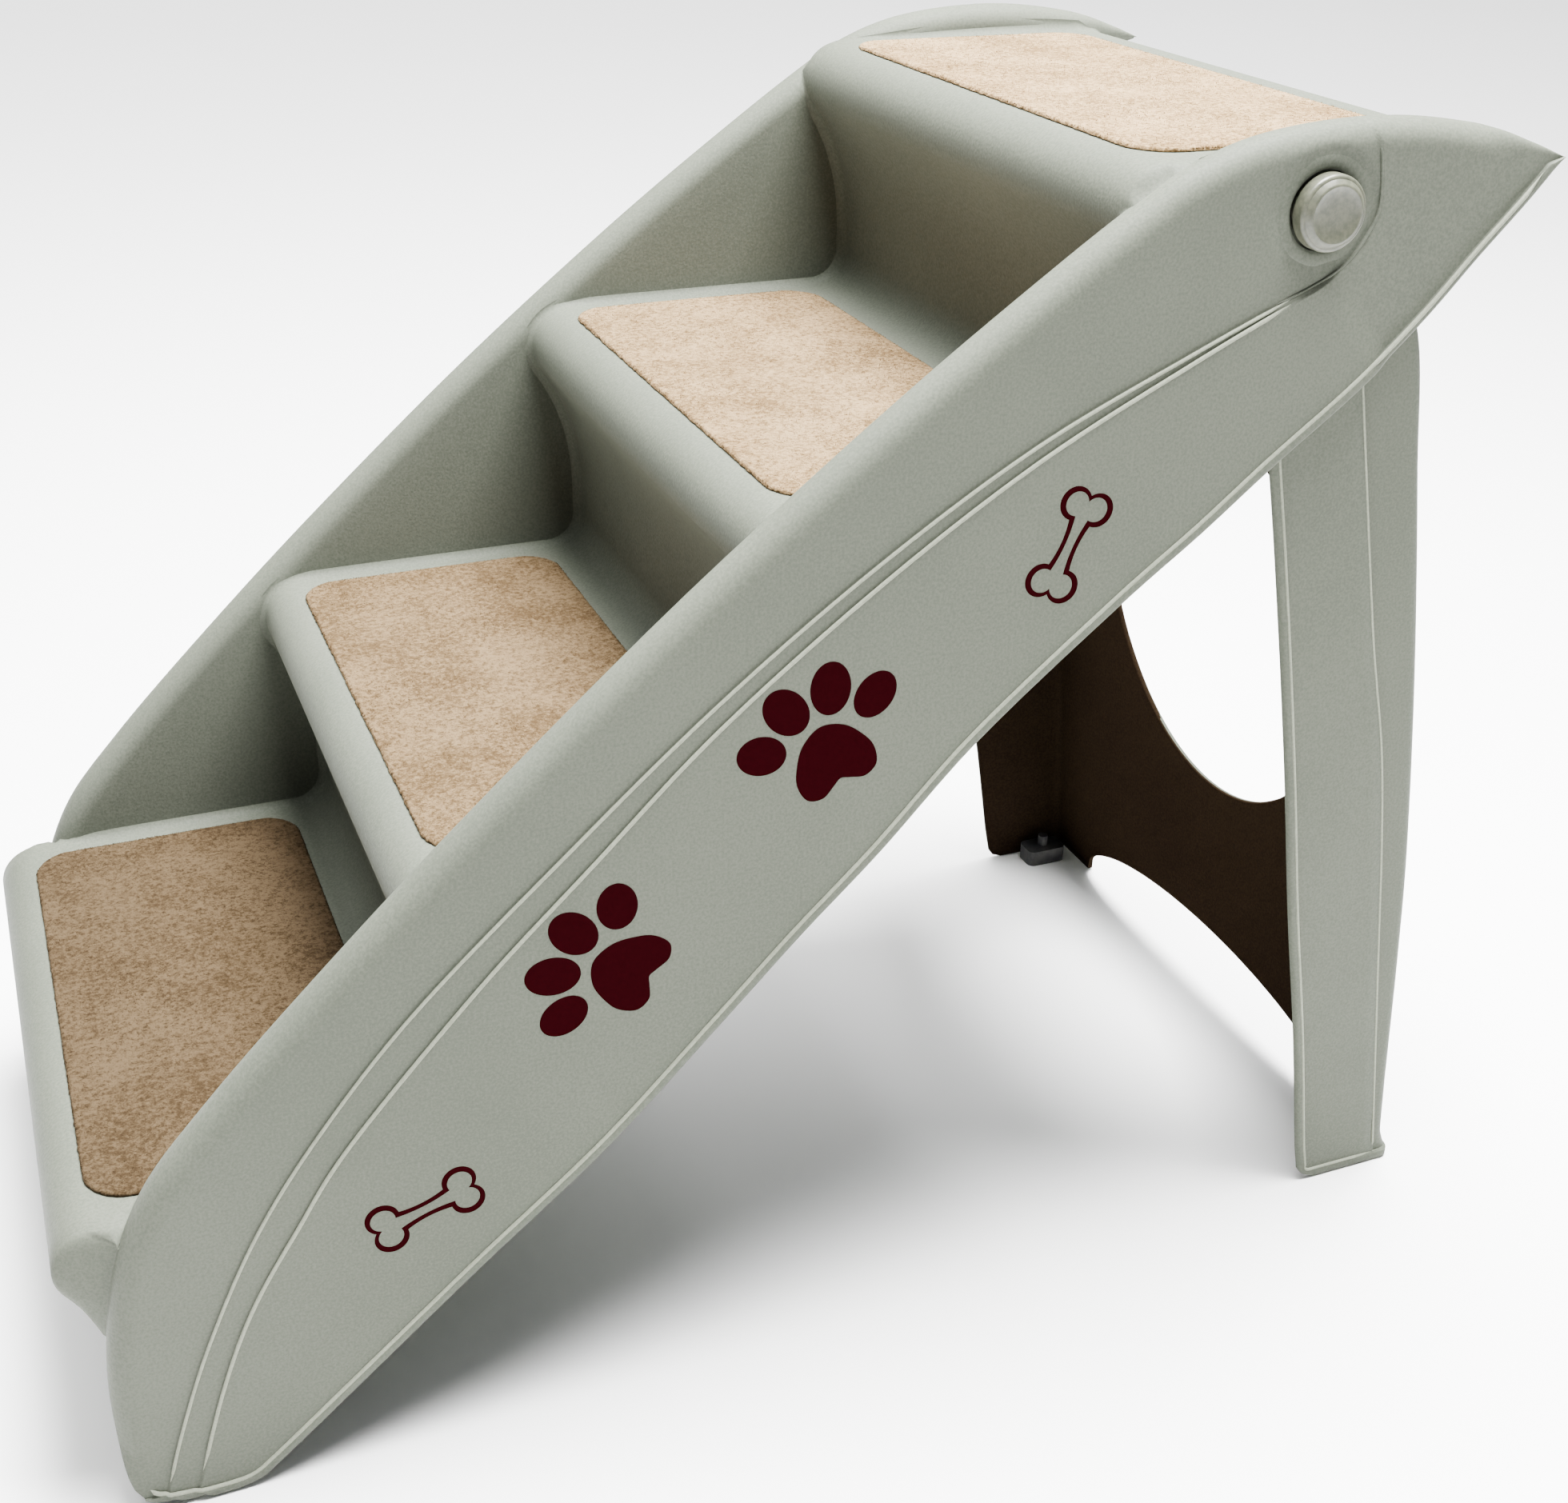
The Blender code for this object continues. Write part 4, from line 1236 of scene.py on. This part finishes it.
@dataclass
class LegFlange:
    """One side of the rear leg, with a border, a recessed rear band, a foot strip and an ear."""

    finish: bpy.types.Material
    inside_painted_shade: bpy.types.Material
    side: float
    word: str
    field_level: float = 0.1680
    band_level: float = 0.1670

    def levels(self) -> np.ndarray:
        """Heights of the sections, closer together at the foot and around the ear.

        Returns:
            Heights, from the foot up.
        """
        return np.unique(np.concatenate([
            np.linspace(FOOT_LEVEL, 0.0100, 19), np.linspace(0.0100, PANEL_TOP, 130),
            [PANEL_TOP + 0.0002], np.linspace(PANEL_TOP + 0.0002, 0.4700, 26),
            PIVOT[1] + EAR_RADIUS * np.sin(np.radians(np.linspace(-20, 90, 24)))]))

    def build(self) -> bpy.types.Object:
        """Make the flange as a tube of level sections.

        Returns:
            The finished object.
        """
        rings = []
        for z in self.levels():
            front = np.interp(z, LEG_FRONT[:, 1], LEG_FRONT[:, 0])
            rear = max(leg_rear_at(z), front + 2e-6)
            width = rear - front
            foot = 1 - float(smoothstep(np.array((z - 0.0044) / 0.0006)))
            field = self.field_level + (LEG_OUTER - self.field_level) * foot
            band = self.band_level + (LEG_OUTER - self.band_level) * foot
            fade = float(smoothstep(np.array((z - 0.436) / 0.018)))
            corner = 0.0060 - 0.0052 * fade
            rim_end = 0.1590 + (LEG_OUTER - WALL - 0.0003 - 0.1590) * fade
            end = PANEL_EDGE - 0.004 if z <= PANEL_TOP + 1e-6 else rim_end
            line = np.interp(z, BAND_LINE[:, 1], BAND_LINE[:, 0])
            line = min(max(line, front + 0.008), max(rear - corner - 0.003, front + 0.009))
            inner = LEG_OUTER - WALL
            t = np.radians(np.linspace(0, 90, 8))
            outer = [(0.0004, inner), (0.0, inner + 0.0005), (0.0002, LEG_OUTER - 0.0013),
                     (0.0007, LEG_OUTER - 0.0005), (0.0015, LEG_OUTER), (0.0024, LEG_OUTER),
                     (0.0032, LEG_OUTER), (0.0035, (LEG_OUTER + field) / 2), (0.0038, field)]
            outer = [(front + dx, y) for dx, y in outer]
            outer += [(x, field) for x in np.linspace(front + 0.0052, line - 0.0008, 8)]
            outer += [(line, (field + band) / 2), (line + 0.0006, band)]
            outer += [(x, band) for x in np.linspace(line + 0.0012, rear - corner, 5)]
            outer += list(zip(rear - corner + corner * np.sin(t), band - corner * (1 - np.cos(t))))
            back = rear - WALL
            round_in = corner * 0.75
            start_y = inner - round_in
            if z <= PANEL_TOP + 1e-6:
                outer += [(rear, PANEL_EDGE + 0.0004), (rear - TUCK, PANEL_EDGE), (rear - TUCK, end)]
                inside = [(back + TUCK, end), (back + TUCK, PANEL_EDGE), (back, PANEL_EDGE + 0.0004)]
            else:
                outer += [(rear, y) for y in np.linspace(band - corner, end, 4)[1:]]
                inside = [(back, min(end, start_y))] * 3
            inside += [(back - round_in * (1 - math.cos(a)), start_y + round_in * math.sin(a))
                       for a in t]
            inside += [(x, inner) for x in np.linspace(back - round_in, front + 0.0006, 8)[1:]]
            ring = np.array(outer + inside)
            ring[:, 0] = np.clip(ring[:, 0], front, rear) if width > 0.004 else ring[:, 0]
            if width <= 0.02:
                ring[:, 0] = np.clip(ring[:, 0], front, rear)
            rings.append(np.stack([ring[:, 0], self.side * ring[:, 1], 0 * ring[:, 0] + z], 1))
        shape = Surface()
        shape.grid(np.array(rings), wrap=True)
        shape.polygon(rings[0])
        shape.polygon(rings[-1])
        obj = shape.build(f"{self.word}_leg_flange", 45)
        cut(obj, 0.0214, 0.1640, 0.1710, self.side)
        obj.data.shade_smooth()
        obj.data.set_sharp_from_angle(angle=math.radians(45))
        dress(obj, self.finish, Body.LEG, Slot.LEG, "rear_leg")
        paint_inside_shade(obj, self.inside_painted_shade)
        return self.hub()

    def hub(self) -> bpy.types.Object:
        """Make the turned hub that houses the lock at the top of the flange.

        Returns:
            The finished object.
        """
        profile = [(0.0040, 0.1548), (0.0170, 0.1548), (0.0176, 0.1554), (0.0176, 0.1604),
                   (0.0232, 0.1604), (0.0238, 0.1610), (0.0238, 0.1689), (0.0213, 0.1689),
                   (0.0213, 0.1632), (0.0152, 0.1632), (0.0152, 0.1564), (0.0040, 0.1564)]
        shape = Surface()
        shape.turn(profile, self.side)
        return dress(shape.build(f"{self.word}_leg_hub", 40), self.finish, Body.LEG, Slot.LEG,
                     "rear_leg")


@dataclass
class LegPanel:
    """Cross panel of the rear leg with a round window and an arch between the feet."""

    finish: bpy.types.Material
    inside_painted_shade: bpy.types.Material
    window: tuple[float, float, float] = (0.104, 0.107, 0.238)
    arch: Point = (0.132, 0.040)
    box: Point = (0.120, 0.356)

    def faces(self) -> list[np.ndarray]:
        """Grids of (across, height) that cover the panel around its openings.

        Returns:
            One grid for each patch.
        """
        y = PANEL_EDGE * np.sin(np.linspace(-math.pi / 2, math.pi / 2, 121))
        low, high = self.box
        half, rise, mid = self.window
        z_side = np.linspace(low, high, 61)
        frame_loop = np.vstack([np.stack([y, 0 * y + low], 1),
                                np.stack([0 * z_side + PANEL_EDGE, z_side], 1)[1:],
                                np.stack([y[::-1], 0 * y + high], 1)[1:],
                                np.stack([0 * z_side - PANEL_EDGE, z_side[::-1]], 1)[1:]])
        angle = np.arctan2((frame_loop[:, 1] - mid) / rise, frame_loop[:, 0] / half)
        hole = np.stack([half * np.cos(angle), mid + rise * np.sin(angle)], axis=1)
        t = np.array([0.0, 0.004, 0.02, 0.06, 0.14, 0.28, 0.45, 0.65, 0.82, 1.0])[:, None, None]
        around = hole[None] * (1 - t) + frame_loop[None] * t
        span, height = self.arch
        inside = np.sqrt(np.clip(1 - (y / span) ** 2, 0, 1))
        bottom = FOOT_LEVEL + height * inside
        s = np.array([0, 0.02, 0.06, 0.12, 0.2, 0.35, 0.5, 0.65, 0.8, 1.0])[:, None]
        lower = np.stack([y[None] + 0 * s, bottom[None] * (1 - s) + low * s], axis=-1)
        s = np.linspace(0, 1, 6)[:, None]
        upper = np.stack([y[None] + 0 * s, high + (PANEL_TOP - high) * s + 0 * y[None]], axis=-1)
        return [around, lower, upper]

    def build(self) -> bpy.types.Object:
        """Make both faces, then join them around every edge.

        Returns:
            The finished object.
        """
        shape = Surface()
        around, lower, upper = self.faces()
        for grid in (around, lower, upper):
            for depth in (0.0, WALL):
                shape.grid(self.lift(grid, depth))
        rim = around[0]
        centre = np.array([0.0, self.window[2]])
        loops = [(0.0, 0.0), (0.25, 0.0006), (0.5, 0.0008), (0.75, 0.0006), (1.0, 0.0)]
        rings = [self.lift(centre + (rim - centre) * (1 - inset / 0.105), WALL * f)
                 for f, inset in loops]
        shape.grid(np.array(rings))
        for edge in (lower[0], upper[-1]):
            shape.grid(np.array([self.lift(edge, WALL * f) for f in (0.0, 0.5, 1.0)]))
        for grid in (lower, upper):
            for column in (0, -1):
                shape.grid(np.array([self.lift(grid[:, column], d) for d in (0.0, WALL)]))
        for sign in (1, -1):
            z = np.linspace(*self.box, 61)
            edge = np.stack([0 * z + sign * PANEL_EDGE, z], axis=1)
            shape.grid(np.array([self.lift(edge, d) for d in (0.0, WALL)]))
        obj = shape.build("leg_cross_panel", 45)
        dress(obj, self.finish, Body.LEG, Slot.LEG, "rear_leg")
        return paint_inside_shade(obj, self.inside_painted_shade)

    @staticmethod
    def lift(yz: np.ndarray, depth: float) -> np.ndarray:
        """Points of the panel at a depth in front of its rear face."""
        z = yz[..., 1]
        return np.stack([leg_rear_at(z) - depth, yz[..., 0], z], axis=-1)


@dataclass
class EdgeLine:
    """A thin round bead moulded along a line of an upright face."""

    finish: bpy.types.Material
    path: np.ndarray
    level: Sequence[Point]
    radius: float
    side: float
    name: str
    body: Body
    slot: Slot

    def build(self) -> bpy.types.Object:
        """Sweep the bead along its path and taper both ends.

        Returns:
            The finished object.
        """
        path = even(self.path, 0.0025)
        step = np.gradient(path, axis=0)
        normal = np.stack([-step[:, 1], step[:, 0]], axis=1)
        normal /= np.linalg.norm(normal, axis=1)[:, None]
        left = np.arange(len(path))
        radius = self.radius * np.minimum(1.0, (np.minimum(left, left[::-1]) + 0.4) / 6)
        turn = np.radians(np.linspace(0, 360, 11))[None, :-1]
        xz = path[:, None] + normal[:, None] * (radius[:, None] * np.cos(turn))[..., None]
        level = np.interp(path[:, 0], *zip(*self.level))[:, None]
        y = level + (radius[:, None] - self.radius) + radius[:, None] * np.sin(turn)
        rings = np.stack([xz[..., 0], self.side * y, xz[..., 1]], axis=-1)
        shape = Surface()
        shape.grid(rings, wrap=True)
        shape.polygon(rings[0])
        shape.polygon(rings[-1])
        return dress(shape.build(self.name, 60), self.finish, self.body, self.slot)


def panel_lines() -> dict[str, tuple[np.ndarray, Sequence[Point], float]]:
    """Path, level and radius of each bead on a side panel.

    Returns:
        Path, level knots and radius of each bead, by name.
    """
    upper = UPPER_LINE[(UPPER_LINE[:, 1] > 0.0090) & (UPPER_LINE[:, 0] < 0.190)]
    lower = LOWER_LINE[(LOWER_LINE[:, 1] > 0.0075) & (LOWER_LINE[:, 0] < 0.190)]
    step = np.gradient(LOWER_RUN, axis=0)
    inward = np.stack([-step[:, 1], step[:, 0]], axis=1)
    inward /= np.maximum(np.linalg.norm(inward, axis=1)[:, None], 1e-9)
    edge = (LOWER_RUN + 0.0040 * inward)[2:-6]
    foot = catmull([(-0.2902, 0.0102), (-0.2860, 0.0070), (-0.2760, 0.0054), (-0.2600, 0.0050),
                    (-0.2500, 0.0064), (-0.2412, 0.0127)])
    edge = np.vstack([foot, edge[edge[:, 0] > -0.2375]])
    seam = catmull([(0.176, 0.4460), (0.192, 0.4520), *SEAM[:-1], (0.2163, 0.5050)])
    steps = ((-0.2845, 0.1724), (-0.2830, 0.1735), (-0.2730, 0.1735), (-0.2715, 0.1746))
    return {"seam_line": (seam, ((0.0, 0.1720),), 0.0006),
            "upper_line": (upper, ((0.0, 0.1727),), 0.0007),
            "lower_line": (lower, ((0.0, 0.1738),), 0.0008), "edge_line": (edge, steps, 0.0009)}


def leg_lines() -> dict[str, tuple[np.ndarray, Sequence[Point], float]]:
    """Path, level and radius of each bead on a flange of the rear leg.

    Returns:
        Path, level knots and radius of each bead, by name.
    """
    z = np.linspace(0.430, 0.0085, 120)
    front = np.stack([np.interp(z, LEG_FRONT[:, 1], LEG_FRONT[:, 0]) + 0.0042, z], axis=1)
    foot = [(0.2596, 0.0062), (0.2625, 0.0050), (0.2800, 0.0050), (0.3050, 0.0050)]
    band = BAND_LINE[(BAND_LINE[:, 1] > 0.0065) & (BAND_LINE[:, 1] < 0.420)]
    return {"leg_border": (np.vstack([front, foot]), ((0.0, 0.1682),), 0.0008),
            "leg_band_line": (band, ((0.0, 0.1676),), 0.0006)}


# ------------------------------------------------------------------ buttons and hardware
@dataclass
class PushButton:
    """Round cap with a polished bevelled rim and a dished face."""

    finish: bpy.types.Material
    side: float
    word: str
    inner: float = 0.1712
    outer: float = 0.1789
    radius: float = 0.0147

    def build(self) -> bpy.types.Object:
        """Make the cap within the engineering shape's limits.

        Returns:
            The finished object.
        """
        inner, outer, radius = self.inner, self.outer, self.radius
        t = np.radians(np.linspace(0, 90, 8))
        dish = [(r, outer - 0.0014 + 0.0009 * (r / 0.0098) ** 3) for r in
                np.linspace(0.0, 0.0098, 9)]
        crest = [(0.0102, outer - 0.0002), (0.0107, outer), (0.0113, outer - 0.0001)]
        bevel = [(0.0117, outer - 0.0004), (0.0131, outer - 0.0019)]
        rim = list(zip(0.0131 + 0.0016 * np.sin(t), outer - 0.0035 + 0.0016 * np.cos(t)))
        profile = dish + crest + bevel + rim
        profile += [(radius, inner), (radius - 0.0022, inner), (radius - 0.0022, outer - 0.0045),
                    (0.0100, outer - 0.0045), (0.0100, inner), (0.0040, inner),
                    (0.0040, 0.1684), (0.0, 0.1684)]
        shape = Surface()
        shape.turn(profile, self.side)
        body = Body.LEFT_BUTTON if self.side > 0 else Body.RIGHT_BUTTON
        return dress(shape.build(f"{self.word}_button_cap", 30), self.finish, body, Slot.BUTTON,
                     f"{self.word}_push_button")


@dataclass
class Hardware:
    """Engineering nodes that keep their shape and only get a finish."""

    steel: bpy.types.Material
    rubber: bpy.types.Material
    plastic: bpy.types.Material

    def paint(self) -> None:
        """Put the finishes on."""
        finishes = {"spring": self.steel, "pin": self.steel, "clip": self.steel,
                    "foot": self.rubber, "plunger": self.plastic}
        for name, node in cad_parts.items():
            for word, finish in finishes.items():
                if name.endswith(word):
                    node.data.materials.clear()
                    node.data.materials.append(finish)
                    log.info("painted %s", name)


# ------------------------------------------------------------------ studio
@dataclass
class Studio:
    """Floor, lights and camera."""

    finish: bpy.types.Material

    def floor(self) -> None:
        """Lay the floor."""
        shape = Surface()
        reach = np.linspace(-14.0, 14.0, 9)
        x, y = np.meshgrid(reach, reach, indexing="ij")
        shape.grid(np.stack([x, y, 0 * x], axis=-1))
        floor = shape.build("studio_floor")
        floor.data.materials.append(self.finish)

    def light(self, name: str, place: tuple, aim: tuple, size: float, power: float,
              colour: Colour = (1.0, 1.0, 1.0)) -> None:
        """Hang one soft square light.

        Args:
            name: Name of the light.
            place: Where it hangs.
            aim: Point that it faces.
            size: Length of its side.
            power: Power in watts.
            colour: Colour of its light.
        """
        lamp = bpy.data.lights.new(name, "AREA")
        lamp.shape, lamp.size, lamp.energy, lamp.color = "SQUARE", size, power, colour
        obj = bpy.data.objects.new(name, lamp)
        bpy.context.scene.collection.objects.link(obj)
        heading = np.array(aim, float) - np.array(place, float)
        back = -heading / np.linalg.norm(heading)
        right = np.cross([0.0, 0.02, 1.0], back)
        right /= np.linalg.norm(right)
        basis = np.stack([right, np.cross(back, right), back], axis=1)
        obj.matrix_world = Matrix(np.block([[basis, np.array(place, float)[:, None]],
                                            [np.zeros((1, 3)), np.ones((1, 1))]]).tolist())

    def world(self, strength: float) -> None:
        """Set a plain bright surround.

        Args:
            strength: Brightness of the surround.
        """
        world = bpy.data.worlds.new("surround")
        world.use_nodes = True
        ground = world.node_tree.nodes["Background"]
        ground.inputs["Color"].default_value = (0.95, 0.97, 1.0, 1.0)
        ground.inputs["Strength"].default_value = strength
        bpy.context.scene.world = world

    def camera(self) -> None:
        """Place the camera low on the right side, looking up the stairs."""
        yaw, pitch, roll = (math.radians(a) for a in (66.94, 26.90, 1.098))
        ahead = np.array([math.cos(pitch) * math.cos(yaw), math.cos(pitch) * math.sin(yaw),
                          -math.sin(pitch)])
        right = np.cross(ahead, [0.0, 0.0, 1.0])
        right /= np.linalg.norm(right)
        up = np.cross(right, ahead)
        tilted = math.cos(roll) * right + math.sin(roll) * up
        upright = math.cos(roll) * up - math.sin(roll) * right
        lens = bpy.data.cameras.new("view")
        lens.sensor_fit, lens.sensor_width, lens.lens = "HORIZONTAL", 36.0, 46.88
        lens.shift_x, lens.shift_y = -0.01685, -0.01224
        lens.clip_start, lens.clip_end = 0.05, 60.0
        obj = bpy.data.objects.new("view", lens)
        bpy.context.scene.collection.objects.link(obj)
        place = np.array([-0.2832, -0.8110, 0.6506])
        basis = np.stack([tilted, upright, -ahead], axis=1)
        obj.matrix_world = Matrix(np.block([[basis, place[:, None]],
                                            [np.zeros((1, 3)), np.ones((1, 1))]]).tolist())
        bpy.context.scene.camera = obj

    def build(self) -> None:
        """Set the whole studio.
        """
        self.floor()
        self.world(0.28)
        self.light("overhead_light", (0.30, -0.05, 1.95), (0.0, 0.0, 0.2), 1.0, 460.0)
        self.light("sky_light", (0.0, 3.0, 6.5), (0.0, 3.0, 0.0), 9.0, 1900.0)
        self.light("front_light", (-1.6, -2.4, 1.5), (0.0, 0.0, 0.2), 1.6, 1.0)
        self.camera()


PRINTS = ((Motif.BONE, (0.0945, 0.361), 66.6), (Motif.PAW, (-0.0028, 0.2868), 111.5),
          (Motif.PAW, (-0.0874, 0.2096), 153.0), (Motif.BONE, (-0.1725, 0.118), 17.9))


def main() -> None:
    logging.basicConfig(level=logging.INFO, format="%(message)s")
    shell = MouldedPlastic("shell_moulding", (0.084, 0.091, 0.071), (0.063, 0.070, 0.054)).make()
    leg = MouldedPlastic("leg_moulding", (0.080, 0.087, 0.067), (0.060, 0.067, 0.051)).make()
    # Dark brown finish for the leg's inner faces: painted shade for the shadow inside the leg.
    inside_painted_shade = MouldedPlastic("leg_inside_painted_shade", (0.017, 0.011, 0.006), (0.010, 0.006, 0.004),
                            shine=0.0).make()
    cap = MouldedPlastic("button_moulding", (0.070, 0.072, 0.050), (0.043, 0.046, 0.032), 420.0,
                         0.28, 0.36).make()
    # Lighter finish for the moulded beads: painted highlight for the light that their ridges catch.
    bead = MouldedPlastic("edge_painted_highlight", (0.200, 0.213, 0.165), (0.160, 0.172, 0.130)).make()
    ink = PrintInk("maroon_ink", (0.0085, 0.0006, 0.0011)).make()

    StairTray(shell).build()
    # Each step's carpet is darker the lower it stands: painted shade for the light that falls off towards
    # the lower steps.
    for index, painted_light_tone in enumerate((0.076, 0.16, 0.27, 0.37)):
        light = tuple(painted_light_tone * c for c in (0.62, 0.42, 0.22))
        dark = tuple(painted_light_tone * c for c in (0.25, 0.150, 0.062))
        TreadCarpet(CutPile(f"beige_pile_{index + 1}", light, dark).make(), index).build()
    LegPanel(leg, inside_painted_shade).build()
    for word, side in SIDES.items():
        SidePanel(shell, side, word).build()
        ButtonWell(shell, side, word).build()
        FootShelf(shell, side, word).build()
        for name, (path, level, radius) in panel_lines().items():
            # Beads other than the seam take the lighter finish: painted highlight on the ridges.
            painted_light_tone = shell if name == "seam_line" else bead
            EdgeLine(painted_light_tone, path, level, radius, side, f"{word}_{name}", Body.STAIRS,
                     Slot.SHELL).build()
        # The leg's beads take the lighter finish as well: painted highlight.
        for name, (path, level, radius) in leg_lines().items():
            EdgeLine(bead, path, level, radius, side, f"{word}_{name}", Body.LEG,
                     Slot.LEG).build()
        LegFlange(leg, inside_painted_shade, side, word).build()
        PushButton(cap, side, word).build()
        for number, (motif, centre, angle) in enumerate(PRINTS, 1):
            Print(ink, motif, centre, angle, side, f"{word}_{motif.value}_print_{number}").build()
    Hardware(PlatedSteel("plated_steel").make(), Rubber("black_rubber").make(), cap).paint()
    Studio(StudioFloor("pale_floor").make()).build()


if __name__ == "__main__":
    main()
